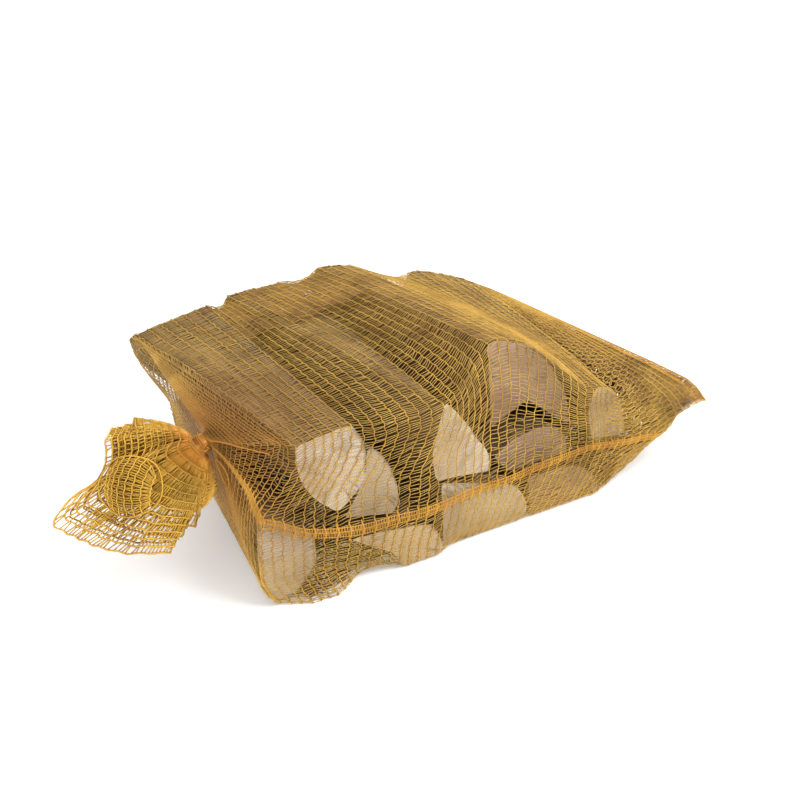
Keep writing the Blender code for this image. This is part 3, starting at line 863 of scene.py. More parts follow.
@dataclass
class BagSkin:
    """The surface that the bag's threads lie on.

    It is a grid: rows run along the bag from the frill's free edge to the sewn edge, columns run
    round it from the front side seam over the top. Each point slides along one fixed line until
    it lies between its neighbours or touches a log. Places in the tables are in millimetres in
    the drawing's own zero, which lies at `zero` in the frame.
    """

    logs: list[Any]
    zero: tuple[float, float, float] = (-0.18495, -0.1692, 0.0)
    back_end: float = 0.330
    seam_height: float = 0.058
    top_rows: tuple[tuple[float, ...], ...] = (
        (24, -5, 170, -1, 149), (53, -5, 173, 43, 158), (82, -5, 176, 87, 165),
        (118, -3, 172, 102, 166), (152, -1, 169, 114, 171), (188, 0, 168, 145, 171),
        (212, 8, 172, 172, 172), (236, 20, 184, 201, 175), (260, 34, 197, 230, 178),
        (300, 35, 187, 275, 171), (332, 31, 165, 298, 159), (357, 22, 143, 322, 152),
        (378, 12, 124, 354, 148), (394, 10, 123, 402, 133), (413, 10, 107, 451, 110),
    )
    left_edge: tuple[tuple[float, float, float], ...] = (
        (0, 4, 54), (27, -11, 44), (69, -14, 34), (104, -11, 16), (141, 24, 6), (175, 24, 2),
    )
    right_edge: tuple[tuple[float, float, float], ...] = (
        (0, 388, 450), (60, 424, 453), (80, 422, 454), (106, 412, 451), (180, 411, 451),
    )
    columns: tuple[int, ...] = (5, 13, 5, 4, 15, 4)
    core: tuple[float, float, float] = (0.090, 0.240, 0.085)
    sewn_edge: tuple[tuple[float, float, float], ...] = (
        (530, -1, 74), (527, 18, 88), (519, 70, 90), (479, 356, 90),
    )
    sewn_gap: float = 0.9 * MM
    closing_sag: tuple[float, ...] = (9, 20, 27, 4, 0)
    closing_bulge: float = 0.5
    closing_stiffness: float = 0.9
    slack_place: float = 0.047
    slack_width: float = 0.030
    slack_reach: float = 0.021
    neck: tuple[float, float, float] = (-0.0235, 0.081, 0.149)
    neck_radius: float = 0.008
    neck_length: float = 0.009
    gather_rows: int = 6
    gather_ease: float = 1.15
    gather_turn: float = 2.2
    neck_own_share: float = 0.35
    frill_along: tuple[float, float, float] = (-0.829, 0.178, -0.530)
    frill_across: tuple[float, float, float] = (0.270, -0.633, -0.726)
    frill_edge: tuple[tuple[float, ...], ...] = (
        (0.000, 55, -62, 0), (0.030, 66, -56, 3), (0.060, 75, -43, 6), (0.090, 86, -33, 7),
        (0.120, 104, -30, 8), (0.155, 121, -33, 8), (0.185, 139, -28, 7), (0.210, 153, -23, 6),
        (0.240, 149, -12, 6), (0.280, 141, 4, 7), (0.320, 130, 21, 7), (0.360, 111, 42, 6),
        (0.385, 96, 53, 5), (0.410, 81, 64, 5), (0.435, 60, 46, 5), (0.455, 43, 47, 4),
        (0.475, 27, 48, 3), (0.500, 14, 43, 0), (0.570, 45, 30, -7), (0.660, 82, 12, -9),
        (0.760, 100, -8, -9), (0.860, 92, -26, -8), (0.940, 66, -46, -4), (1.000, 55, -62, 0),
    )
    frill_rows: int = 30
    frill_opening: float = 0.62
    frill_folds: float = 3.0
    frill_fold_start: float = 0.6
    frill_fold_depth: float = 0.004
    ruffles: float = 11.0
    ruffle_depth: float = 1.5 * MM
    ragged: float = 0.008
    ragged_waves: float = 37.0
    inner_width: float = 0.92
    pouch_place: tuple[float, float] = (0.072, -0.007)
    pouch_size: float = 0.024
    pouch_depth: float = 0.009
    finer: int = 5
    clearance: float = 1.15 * MM
    floor: float = 1.0 * MM
    ray_reach: float = 0.16
    ray_depth: float = 0.12
    coarse_steps: int = 260
    coarse_felt: int = 4
    fine_steps: int = 70
    fine_felt: int = 2
    relaxing_share: float = 0.8
    relaxing_push: float = 0.9
    least_part: float = 0.05

    def row_places(
        self, front: tuple[float, float], back: tuple[float, float]
    ) -> tuple[np.ndarray, np.ndarray]:
        """Places of one row's columns, spaced evenly on each straight stretch round the pile.

        Args:
            front: y and z of the row's upper front corner.
            back: y and z of its upper back corner.

        Returns:
            Places (y, z) and outward directions (x, y, z) away from the pile's long core.
        """
        seam = self.seam_height
        corners = [
            (0.0, seam),
            front,
            back,
            (self.back_end, seam),
            (self.back_end, 0.0),
            (0.0, 0.0),
            (0.0, seam),
        ]
        place = np.concatenate(
            [
                np.linspace(start, end, count, endpoint=False)
                for start, end, count in zip(corners, corners[1:], self.columns)
            ]
        )
        core = np.column_stack(
            [np.clip(place[:, 0], self.core[0], self.core[1]), np.full(len(place), self.core[2])]
        )
        return place, np.column_stack([np.zeros(len(place)), unit(place - core)])

    def edge_x(self, table: tuple[tuple[float, float, float], ...], place: np.ndarray) -> np.ndarray:
        """x of an edge of the pile: by height, then blended from the front to the back.

        Args:
            table: height, x at the front and x at the back, in millimetres.
            place: places (y, z).

        Returns:
            x at each place.
        """
        height, front, back = np.array(table, float).T * MM
        share = np.clip(place[:, 0] / self.back_end, 0.0, 1.0)
        front_x = np.interp(place[:, 1], height, front)
        return front_x + (np.interp(place[:, 1], height, back) - front_x) * share

    def body(self) -> tuple[list[np.ndarray], list[np.ndarray]]:
        """Rows over the logs: each runs round the pile between its left and right edges, on the
        ridges and in the valleys of the top logs and evenly spaced underneath.

        Returns:
            The rows and the outward directions of their columns.
        """
        table = np.array(self.top_rows, float) * MM
        front_share = (table[:, 0] - table[0, 0]) / (table[-1, 0] - table[0, 0])
        back_share = (table[:, 3] - table[0, 3]) / (table[-1, 3] - table[0, 3])
        rows, lines = [], []
        for k, (_, front_y, front_z, _, back_z) in enumerate(table):
            place, outward = self.row_places((front_y, front_z), (self.back_end, back_z))
            left, right = self.edge_x(self.left_edge, place), self.edge_x(self.right_edge, place)
            depth = np.clip((place[:, 0] - front_y) / (self.back_end - front_y), 0.0, 1.0)
            top_share = front_share[k] + (back_share[k] - front_share[k]) * depth
            low_share = k / (len(table) - 1.0)
            height = np.interp(place[:, 1], (0.0, min(front_z, back_z)), (0.0, 1.0))
            x = left + (right - left) * (low_share + (top_share - low_share) * height)
            slack = np.exp(-(((x - self.slack_place) / self.slack_width) ** 2))
            slack = slack * np.exp(-place[:, 1] / self.slack_reach)
            y = place[:, 0] - self.slack_reach * slack * (place[:, 0] < self.core[0] / 2.0)
            rows.append(np.column_stack([x, y, place[:, 1]]))
            lines.append(outward)
        return rows, lines

    def sewn_row(self, columns: int) -> np.ndarray:
        """The last row: the upper sheet runs from the front ear to the back ear, the lower one back.

        Args:
            columns: points in the row.

        Returns:
            The points.
        """
        half = columns // 2
        share = np.concatenate([np.arange(half) / half, 1.0 - np.arange(half) / half])
        edge = np.array(self.sewn_edge, float) * MM
        steps = np.linalg.norm(np.diff(edge, axis=0), axis=1)
        at = np.concatenate([[0.0], np.cumsum(steps)]) / steps.sum()
        row = np.column_stack([np.interp(share, at, edge[:, k]) for k in range(3)])
        row[1:half, 2] += self.sewn_gap
        row[half + 1 :, 2] -= self.sewn_gap
        return row

    def closing(self, last: np.ndarray, sewn: np.ndarray) -> list[np.ndarray]:
        """Rows from the logs to the sewn edge, which sag and bulge at the lower front.

        Args:
            last: the last row over the logs.
            sewn: the sewn edge.

        Returns:
            The rows.
        """
        low = np.clip(1.0 - last[:, 2] / self.seam_height, 0.0, 1.0)
        low = np.sqrt(low) * np.clip(1.0 - last[:, 1] / self.back_end, 0.0, 1.0)
        rows = []
        for k, sag in enumerate(self.closing_sag, 1):
            row = last + (sewn - last) * (k / len(self.closing_sag))
            row[:, 1] -= sag * MM * low * self.closing_bulge
            row[:, 2] -= sag * MM * low
            rows.append(row)
        return rows

    def neck_directions(self, place: np.ndarray) -> np.ndarray:
        """Unit directions round the neck: each column's own angle about it, mostly evened out.

        Args:
            place: places (y, z) of the columns in the first body row.

        Returns:
            One direction for each column, square to the frill's length.
        """
        around = np.unwrap(np.arctan2(place[:, 1] - self.neck[2], place[:, 0] - self.neck[1]))
        turn = np.sign(around[-1] - around[0]) * 2.0 * np.pi
        even = around.mean() + turn * ((np.arange(len(place)) + 0.5) / len(place) - 0.5)
        angle = self.neck_own_share * around + (1.0 - self.neck_own_share) * even
        flat = np.column_stack([np.zeros(len(place)), np.cos(angle), np.sin(angle)])
        along = unit(np.array(self.frill_along))
        return unit(flat - (flat @ along)[:, None] * along)

    def frill_axes(self) -> tuple[np.ndarray, np.ndarray, np.ndarray, np.ndarray]:
        """Works out the frill's own axes.

        Returns:
            The middle of its narrow end, and its directions along, across and out.
        """
        along = unit(np.array(self.frill_along))
        across = np.array(self.frill_across)
        across = unit(across - (across @ along) * along)
        out = np.cross(across, along)
        out = -out if out[1] > 0.0 else out
        return np.array(self.neck) + along * self.neck_length, along, across, out

    def frill(self, directions: np.ndarray) -> np.ndarray:
        """Rows of the frill, from the neck to its free edge: two layers of a fan, joined at its
        sides. Its width grows with a power of the way out; wide folds and small ruffles are sines
        of the place across it, which both layers share, so that they never cross.

        Args:
            directions: directions of the columns round the neck.

        Returns:
            The rows, the neck's first.
        """
        centre, along, across, out = self.frill_axes()
        side, near = directions @ across, directions @ out
        turn = (np.arctan2(near, -side) / (2.0 * np.pi)) % 1.0
        places, *edge = np.array(self.frill_edge).T
        reach, spread, lift = (np.interp(turn, places, column) * MM for column in edge)
        reach = reach * (1.0 + self.ragged * np.sin(turn * 2.0 * np.pi * self.ragged_waves))
        from_side = 2.0 * np.minimum(turn, 1.0 - turn)
        part = (np.arange(self.frill_rows + 1) / self.frill_rows)[:, None]
        opened = part**self.frill_opening
        forward = reach * part
        width = side * self.neck_radius * (1.0 - part) + spread * opened
        fold = np.sin(2.0 * np.pi * self.frill_folds * from_side + self.frill_fold_start)
        ruffle = np.sin(2.0 * np.pi * self.ruffles * from_side + 3.0 * part)
        folded = self.frill_fold_depth * fold + self.ruffle_depth * ruffle
        off = ((forward - self.pouch_place[0]) ** 2 + (width - self.pouch_place[1]) ** 2) / self.pouch_size**2
        depth = near * self.neck_radius * (1.0 - part) + lift * opened + part * folded
        depth = depth + self.pouch_depth * np.exp(-off) * np.clip(near, 0.0, 1.0)
        return centre + forward[..., None] * along + width[..., None] * across + depth[..., None] * out

    @staticmethod
    def between(grid: np.ndarray, row: np.ndarray, column: np.ndarray) -> tuple[np.ndarray, list[Any]]:
        """Reads a grid between its rows and columns, which close round.

        Args:
            grid: the grid, with one or more numbers at each point.
            row: places along it, in rows.
            column: places round it, in columns.

        Returns:
            The values there, and the four points and shares that each comes from.
        """
        i0 = np.clip(np.floor(row).astype(int), 0, len(grid) - 2)
        j0 = np.floor(column).astype(int)
        u, v = row - i0, column - j0
        j0, j1 = j0 % grid.shape[1], (j0 + 1) % grid.shape[1]
        corners = [
            (i0, j0, (1 - u) * (1 - v)),
            (i0 + 1, j0, u * (1 - v)),
            (i0, j1, (1 - u) * v),
            (i0 + 1, j1, u * v),
        ]
        shape = (slice(None),) * row.ndim + (None,) * (grid.ndim - 2)
        return sum(grid[i, j] * share[shape] for i, j, share in corners), corners

    def limits(self, tree: BVHTree, start: np.ndarray, line: np.ndarray) -> np.ndarray:
        """How far out along each line the logs reach, from rays sent inwards.

        Args:
            tree: the logs' faces.
            start: points on the lines.
            line: outward unit directions.

        Returns:
            The distance from the start, or minus the rays' depth where a line meets no log.
        """
        far = start + line * self.ray_reach
        whole = self.ray_reach + self.ray_depth
        hits = [
            tree.ray_cast(Vector(point), Vector(-direction), whole)[3] for point, direction in zip(far, line)
        ]
        return np.array([-self.ray_depth if hit is None else self.ray_reach - hit for hit in hits])

    def settle(
        self,
        reference: np.ndarray,
        outward: np.ndarray,
        stiffness: np.ndarray,
        slide: np.ndarray,
        tree: BVHTree,
        steps: int,
        finer: int,
    ) -> np.ndarray:
        """Slides the points: each step moves a point to its neighbours' mean, seen along its line,
        and then pushes it out where the skin between the points would cut a log.

        Args:
            reference: the grid at rest.
            outward: each point's line.
            stiffness: how much each point keeps to the reference, from 0 to 1.
            slide: where the points start on their lines.
            tree: the logs' faces.
            steps: number of steps.
            finer: places at which the logs are felt for each row and column.

        Returns:
            The slide of each point.
        """
        rows, columns = reference.shape[:2]
        fine_row, fine_column = np.meshgrid(
            np.arange((rows - 1) * finer + 1) / finer, np.arange(columns * finer) / finer, indexing="ij"
        )
        fine_row, fine_column = fine_row.ravel(), fine_column.ravel()
        start, corners = self.between(reference, fine_row, fine_column)
        line = unit(self.between(outward, fine_row, fine_column)[0])
        limit = self.limits(tree, start, line) + self.clearance
        weight = sum(part**2 for _, _, part in corners)
        free = np.ones((rows, 1))
        free[[0, -1]] = 0.0
        for step in range(steps):
            relax = step < steps * self.relaxing_share
            if relax:
                skin = self.laid(reference, outward, slide)
                pull = (np.roll(skin, 1, 1) + np.roll(skin, -1, 1)) / 4.0
                pull[1:-1] += (skin[:-2] + skin[2:]) / 4.0
                target = ((pull[1:-1] - reference[1:-1]) * outward[1:-1]).sum(axis=2)
                slide[1:-1] = target * (1.0 - stiffness[1:-1])
            felt = self.between(self.laid(reference, outward, slide), fine_row, fine_column)[0]
            short = np.maximum(limit - ((felt - start) * line).sum(axis=1), 0.0)
            push = np.zeros_like(slide)
            for i, j, part in corners:
                wanted = np.where(part > self.least_part, short * np.minimum(part / weight, 1.0), 0.0)
                np.maximum.at(push, (i, j), wanted)
            slide = slide + push * free * (self.relaxing_push if relax else 1.0)
        return slide

    def laid(self, reference: np.ndarray, outward: np.ndarray, slide: np.ndarray) -> np.ndarray:
        """Moves a grid along its lines and keeps it above the ground.

        Args:
            reference: the grid at rest.
            outward: each point's line.
            slide: how far each point has moved along its line.

        Returns:
            The grid's points.
        """
        skin = reference + outward * slide[..., None]
        skin[..., 2] = np.maximum(skin[..., 2], self.floor)
        return skin

    def tree(self) -> BVHTree:
        """Collects the faces of all logs.

        Returns:
            Their search tree, in the drawing's zero.
        """
        points, faces, total = [], [], 0
        for log in self.logs:
            mesh = log.data
            mesh.calc_loop_triangles()
            place = np.empty(len(mesh.vertices) * 3, np.float32)
            mesh.vertices.foreach_get("co", place)
            corner = np.empty(len(mesh.loop_triangles) * 3, np.int32)
            mesh.loop_triangles.foreach_get("vertices", corner)
            points.append(place.reshape(-1, 3) - np.array(self.zero))
            faces.append(corner.reshape(-1, 3) + total)
            total += len(mesh.vertices)
        return BVHTree.FromPolygons(np.concatenate(points).tolist(), np.concatenate(faces).tolist())

    def build(self) -> "SkinGrid":
        """Lays out the rows, lets them settle coarsely and then finely, and adds the frill.

        Returns:
            The finished surface in the frame's own zero.
        """
        body, body_lines = self.body()
        columns = len(body[0])
        radial = body_lines[0]
        directions = self.neck_directions(body[0][:, 1:])
        ring = np.array(self.neck) + directions * self.neck_radius
        sewn = self.sewn_row(columns)
        reference, lines = [ring], [radial]
        for k in range(1, self.gather_rows + 1):
            part = 1.0 - (k / (self.gather_rows + 1.0))
            turned = float(np.clip(part * self.gather_turn, 0.0, 1.0))
            line = radial * (1.0 - turned) + np.array([-1.0, 0.0, 0.0]) * turned
            reference.append(body[0] + (ring - body[0]) * part**self.gather_ease)
            lines.append(unit(line))
        reference += body
        lines += body_lines
        reference += self.closing(body[-1], sewn)
        lines += [body_lines[-1]] * len(self.closing_sag)
        coarse, coarse_lines = np.array(reference), np.array(lines)
        stiffness = np.zeros(coarse.shape[:2])
        stiffness[-len(self.closing_sag) :] = self.closing_stiffness
        slack = np.hypot(coarse[..., 0] - self.slack_place, coarse[..., 1] + self.slack_reach)
        stiffness[(slack < self.slack_width) & (coarse[..., 2] < self.slack_reach)] = 1.0
        tree = self.tree()
        slide = np.zeros(coarse.shape[:2])
        slide = self.settle(coarse, coarse_lines, stiffness, slide, tree, self.coarse_steps, self.coarse_felt)
        row, column = np.meshgrid(
            np.arange((len(coarse) - 1) * self.finer + 1) / self.finer,
            np.arange(columns * self.finer) / self.finer,
            indexing="ij",
        )
        fine = self.between(coarse, row, column)[0]
        fine_lines = unit(self.between(coarse_lines, row, column)[0])
        fine_stiffness = self.between(stiffness, row, column)[0]
        fine_slide = self.between(slide, row, column)[0]
        fine_slide = self.settle(
            fine, fine_lines, fine_stiffness, fine_slide, tree, self.fine_steps, self.fine_felt
        )
        skin = self.laid(fine, fine_lines, fine_slide)
        fine_directions = unit(
            self.between(np.repeat(directions[None], 2, 0), np.zeros(columns * self.finer), column[0])[0]
        )
        frill = self.frill(fine_directions)
        points = np.concatenate([frill[::-1], skin]) + np.array(self.zero)
        points[..., 2] = np.maximum(points[..., 2], self.floor)
        first_body = len(frill) + (self.gather_rows + 1) * self.finer
        last_body = len(points) - 1 - len(self.closing_sag) * self.finer
        return SkinGrid(points, len(frill), first_body, last_body, fine_directions)

    def inner_frill(self, skin: "SkinGrid", reach: float, lift: float) -> "SkinGrid":
        """A shorter layer of the frill, between its near and far layers.

        Args:
            skin: the bag's surface.
            reach: its reach as a share of the frill's.
            lift: its place between the middle plane, at 0, and the outer layers, at 1.

        Returns:
            The layer, from its free edge to the neck.
        """
        edge = tuple(
            (turn, out * reach, across * self.inner_width, up * lift)
            for turn, out, across, up in self.frill_edge
        )
        rows = replace(self, frill_edge=edge, pouch_depth=0.0).frill(skin.directions)
        return SkinGrid(rows[::-1] + np.array(self.zero), len(rows), len(rows), len(rows), skin.directions)


@dataclass
class SkinGrid:
    """The finished surface of the bag, read between its points."""

    points: np.ndarray
    frill_count: int
    first_body: int
    last_body: int
    directions: np.ndarray

    def __post_init__(self) -> None:
        """Works out the normals: the cross product of the steps along and round the bag."""
        along = np.empty_like(self.points)
        along[1:-1] = self.points[2:] - self.points[:-2]
        along[0], along[-1] = self.points[1] - self.points[0], self.points[-1] - self.points[-2]
        around = np.roll(self.points, -1, 1) - np.roll(self.points, 1, 1)
        self.normals = unit(np.cross(along, around))

    def laid(
        self, row: np.ndarray, column: np.ndarray, lift: Union[np.ndarray, float]
    ) -> tuple[np.ndarray, np.ndarray]:
        """Points on or outside the surface, and its normals there.

        Args:
            row: places along the bag, in rows of the grid.
            column: places round it, in columns.
            lift: distance outside the surface.

        Returns:
            The points and the normals.
        """
        normal = unit(BagSkin.between(self.normals, row, column)[0])
        return BagSkin.between(self.points, row, column)[0] + normal * np.asarray(lift)[..., None], normal

    def row_run(self) -> np.ndarray:
        """Mean distance along the bag from its first row to each row."""
        steps = np.linalg.norm(np.diff(self.points, axis=0), axis=2).mean(axis=1)
        return np.concatenate([[0.0], np.cumsum(steps)])


def tubes(
    path: np.ndarray, normal: np.ndarray, radius: np.ndarray, closed: bool, height: float = 1.0
) -> tuple[np.ndarray, list[np.ndarray]]:
    """Carries a three-sided profile along many paths at once.

    The profile at each point lies square to the path: one corner points along the surface
    normal and the other two a third of a turn to either side of it. A tape is lower than wide.

    Args:
        path: points of the paths (paths, points, 3).
        normal: surface normal at each point.
        radius: radius at each point.
        closed: whether each path closes on itself; otherwise its ends get caps.
        height: the profile's height as a share of a round thread's.

    Returns:
        The points and the arrays of faces.
    """
    if closed:
        ahead, behind = np.roll(path, -1, 1), np.roll(path, 1, 1)
    else:
        ahead = np.concatenate([path[:, 1:], path[:, -1:]], 1)
        behind = np.concatenate([path[:, :1], path[:, :-1]], 1)
    tangent = unit(ahead - behind)
    up = unit(normal - (normal * tangent).sum(-1, keepdims=True) * tangent)
    side = np.cross(tangent, up)
    turn = np.arange(3) * 2.0 * np.pi / 3.0
    corners = up[:, :, None] * (height * np.cos(turn)[:, None]) + side[:, :, None] * np.sin(turn)[:, None]
    points = path[:, :, None] + corners * radius[..., None, None]
    count, length = path.shape[:2]
    index = np.arange(count * length * 3).reshape(count, length, 3)
    after = np.roll(index, -1, 2)
    if closed:
        start, start_after = index, after
        end, end_after = np.roll(index, -1, 1), np.roll(after, -1, 1)
    else:
        start, start_after, end, end_after = index[:, :-1], after[:, :-1], index[:, 1:], after[:, 1:]
    quads = np.stack([start, start_after, end_after, end], -1).reshape(-1, 4)
    faces = [quads]
    if not closed:
        faces.append(np.concatenate([index[:, 0, ::-1], index[:, -1]]))
    return points.reshape(-1, 3), faces


def cord(
    path: np.ndarray, normal: np.ndarray, radius: float, closed: bool = False
) -> tuple[np.ndarray, list[np.ndarray]]:
    """One thread of even thickness along one path.

    Args:
        path: its points.
        normal: surface normal, for each point or for all of them.
        radius: its radius.
        closed: whether it closes on itself.

    Returns:
        The points and the arrays of faces.
    """
    normals = np.broadcast_to(normal, path.shape)
    return tubes(path[None], normals[None], np.full((1, len(path)), radius), closed)


def strokes(
    skin: SkinGrid,
    rows: tuple[Any, Any],
    columns: tuple[np.ndarray, np.ndarray],
    radius: float,
    lift: Any = 0.0,
    count: int = 3,
    height: float = TAPE_HEIGHT,
) -> tuple[np.ndarray, list[np.ndarray]]:
    """Straight strokes of thread on the bag's surface.

    Args:
        skin: the surface.
        rows: rows at which the strokes start and end.
        columns: columns at which they start and end.
        radius: radius of the thread.
        lift: distance outside the surface.
        count: points along each stroke.
        height: its height as a share of a round thread's.

    Returns:
        Points and faces of the strokes.
    """
    share = np.linspace(0.0, 1.0, count)
    start, end = (np.broadcast_to(row, columns[0].shape)[:, None] for row in rows)
    row_grid = start + (end - start) * share
    column_grid = columns[0][:, None] + (columns[1] - columns[0])[:, None] * share
    path, normal = skin.laid(row_grid, column_grid, lift)
    return tubes(path, normal, np.full(path.shape[:2], radius), False, height)


class ThreadBatch:
    """Threads gathered into one piece."""

    def __init__(self, name: str) -> None:
        """Starts an empty batch.

        Args:
            name: name of its piece.
        """
        self.name = name
        self.points: list[np.ndarray] = []
        self.faces: list[np.ndarray] = []
        self.total = 0

    def add(self, points: np.ndarray, faces: list[np.ndarray]) -> None:
        """Adds threads.

        Args:
            points: their points.
            faces: arrays of faces between those points.
        """
        self.points.append(points)
        self.faces += [part + self.total for part in faces if len(part)]
        self.total += len(points)

    def merged(self) -> tuple[np.ndarray, list[np.ndarray]]:
        """Joins the threads.

        Returns:
            All points, and one array of faces for each number of corners.
        """
        quads = [part for part in self.faces if part.shape[1] == 4]
        fans = [part for part in self.faces if part.shape[1] == 3]
        return np.concatenate(self.points), [np.concatenate(group) for group in (quads, fans) if group]

    def build(self, material: Any) -> Any:
        """Makes the piece, all in that material."""
        points, faces = self.merged()
        return make_piece(self.name, points, faces, [material] * len(faces))

    def build_with(self, material: Any, other: "ThreadBatch", other_material: Any) -> Any:
        """Makes one piece of this batch and another.

        Args:
            material: material of this batch.
            other: the other batch.
            other_material: its material.

        Returns:
            The object.
        """
        points, faces = self.merged()
        more_points, more_faces = other.merged()
        shifted = [part + len(points) for part in more_faces]
        materials = [material] * len(faces) + [other_material] * len(shifted)
        return make_piece(self.name, np.concatenate([points, more_points]), faces + shifted, materials)


@dataclass
class NetBag:
    """The knitted bag: chains of stitches, laid-in thread, side seam, sewn edge and frill."""

    skin: SkinGrid
    form: BagSkin
    net_finish: ThreadFinish = ThreadFinish("net_thread", (0.70, 0.40, 0.062), (0.40, 0.205, 0.026))
    lay_finish: ThreadFinish = ThreadFinish("laid_thread", (0.66, 0.42, 0.085), (0.35, 0.195, 0.030))
    frill_finish: ThreadFinish = ThreadFinish(
        "frill_thread",
        (0.78, 0.45, 0.050),
        (0.54, 0.29, 0.026),
        neck_tint_and_shade=(0.66, 0.25, 0.018),
        neck_reach=0.055,
    )
    frill_lay_finish: ThreadFinish = ThreadFinish(
        "frill_laid_thread",
        (0.72, 0.44, 0.055),
        (0.42, 0.225, 0.024),
        neck_tint_and_shade=(0.60, 0.22, 0.016),
        neck_reach=0.055,
    )
    # the frill's inner layers: the same thread darkened as painted shade between the outer layers
    fold_shade_finish: ThreadFinish = ThreadFinish(
        "fold_thread_shaded", (0.60, 0.32, 0.032), (0.34, 0.155, 0.016), neck_reach=0.05
    )
    seam_finish: ThreadFinish = ThreadFinish(
        "seam_thread", (0.70, 0.37, 0.042), (0.46, 0.205, 0.018), neck_reach=0.06
    )
    # the slack's thread is far darker than the bag's, as painted shade inside the bag
    slack_shade_finish: ThreadFinish = ThreadFinish("slack_thread_shaded", (0.32, 0.16, 0.045), (0.13, 0.062, 0.020))
    girth: float = 1.02
    full_girth: float = 0.42
    narrowest: float = 0.4
    chain_step: float = 10.6 * MM
    frill_step: float = 6.8 * MM
    chain_radius: float = 0.72 * MM
    stroke_radius: float = 0.45 * MM
    frill_chain_radius: float = 1.1 * MM
    frill_stroke_radius: float = 0.78 * MM
    chain_points: int = 360
    loose_points: int = 400
    frill_points: int = 300
    body_strokes: int = 350
    gather_strokes: int = 280
    frill_strokes: int = 185
    slant: float = 0.7
    frill_slant: float = 0.15
    slant_spread: float = 0.45
    place_spread: float = 0.16
    drift_waves: tuple[int, int] = (5, 12)
    stitch_swell: float = 0.25
    stitch_turn: float = 2.4
    chain_lift: float = 0.1 * MM
    wiggle_waves: int = 90
    wiggle: float = 3.2 * MM
    taut: float = 0.2
    loose_gathers: float = 0.26
    loose_front: float = 0.24
    loose_right: float = 0.62
    front_columns: tuple[float, float] = (18.0, 34.0)
    bunching: float = 0.7
    inner_layers: tuple[tuple[float, float], ...] = ((0.90, -0.5), (0.78, 0.55), (0.60, -0.1))
    inner_step: float = 8.0 * MM
    inner_strokes: int = 120
    inner_points: int = 180
    inner_part: float = 0.93
    inner_place_spread: float = 0.3
    inner_slant_spread: float = 0.6
    pouch_radius: float = 29.0 * MM
    pouch_turn: float = -48.0
    pouch_bow: float = 7.0
    pouch_lift: float = 12.5 * MM
    pouch_rise: float = 6.5 * MM
    pouch_rim_radius: float = 0.95 * MM
    pouch_rim_points: int = 96
    pouch_arcs: tuple[float, ...] = (-25.0, -18.0, -10.5, -3.0, 5.0, 12.5, 19.0, 25.5)
    pouch_arc_spacing: float = 0.84
    pouch_arc_points: int = 40
    pouch_wave: float = 0.5 * MM
    pouch_strokes_reach: float = 0.97
    pouch_pitch: float = 2.4 * MM
    pleats: tuple[tuple[float, float, float, float, int], ...] = (
        (-26.0, 27.0, 146.0, 208.0, 130),
        (64.0, 94.6, 104.0, 228.0, 400),
        (76.0, 94.6, 2.0, 104.0, 250),
        (6.0, 20.0, 70.0, 92.0, 76),
        (22.0, 44.0, 70.0, 92.0, 76),
    )
    pleat_step: float = 5.8 * MM
    pleat_radius: float = 1.05 * MM
    pleat_depth: float = 2.0 * MM
    pleat_floor: float = 0.2 * MM
    pleat_spread: float = 0.4
    pleat_slant: float = 3.0
    crumple_turns: tuple[float, float] = (0.9, 0.45)
    seam_gather: tuple[tuple[float, float], ...] = ((0.5, 14), (7, 12.5), (16, 10.5), (26, 10), (36, 9))
    seam_path: tuple[tuple[float, float], ...] = (
        (28, 77), (59, 65), (92, 60), (125, 59), (160, 55), (195, 55), (231, 56), (268, 56),
        (305, 56), (331, 57), (370, 60), (411, 56), (453, 51), (494, 60),
    )
    seam_reach: tuple[int, int] = (-40, 30)
    seam_half: float = 0.95
    seam_points: int = 620
    seam_smoothing: int = 12
    seam_cords: tuple[float, ...] = (-1.0, 0.1, 1.0)
    seam_cord_radius: float = 0.62 * MM
    seam_lift: float = 0.7 * MM
    zigzag_radius: float = 0.42 * MM
    zigzag_reach: float = 1.25
    zigzag_lift: float = 0.9 * MM
    hook_half: float = 2.3
    hook_points: int = 7
    hook_bow: float = 0.25
    hook_radius: float = 1.3 * MM
    hook_lift: float = 0.5 * MM
    edge_inset: float = 0.5
    edge_rows: float = 2.2
    edge_points: int = 300
    edge_cord_radius: float = 0.75 * MM
    edge_lift: float = 0.5 * MM
    edge_stitches: int = 190
    edge_zigzag_lift: float = 0.6 * MM
    seed: int = 5

    def chain_rows(self) -> np.ndarray:
        """Spaces the chains evenly along the bag, closer in the frill.

        Returns:
            The rows on which they lie.
        """
        run = self.skin.row_run()
        neck = self.skin.frill_count
        frill_run, body_run = run[neck - 1], run[-1] - run[neck]
        frill = np.linspace(0.0, frill_run, int(round(frill_run / self.frill_step)) + 1)
        body = np.linspace(run[neck], run[-1], int(round(body_run / self.chain_step)) + 1)
        return np.interp(np.concatenate([frill[:-1], body]), run, np.arange(len(run)))

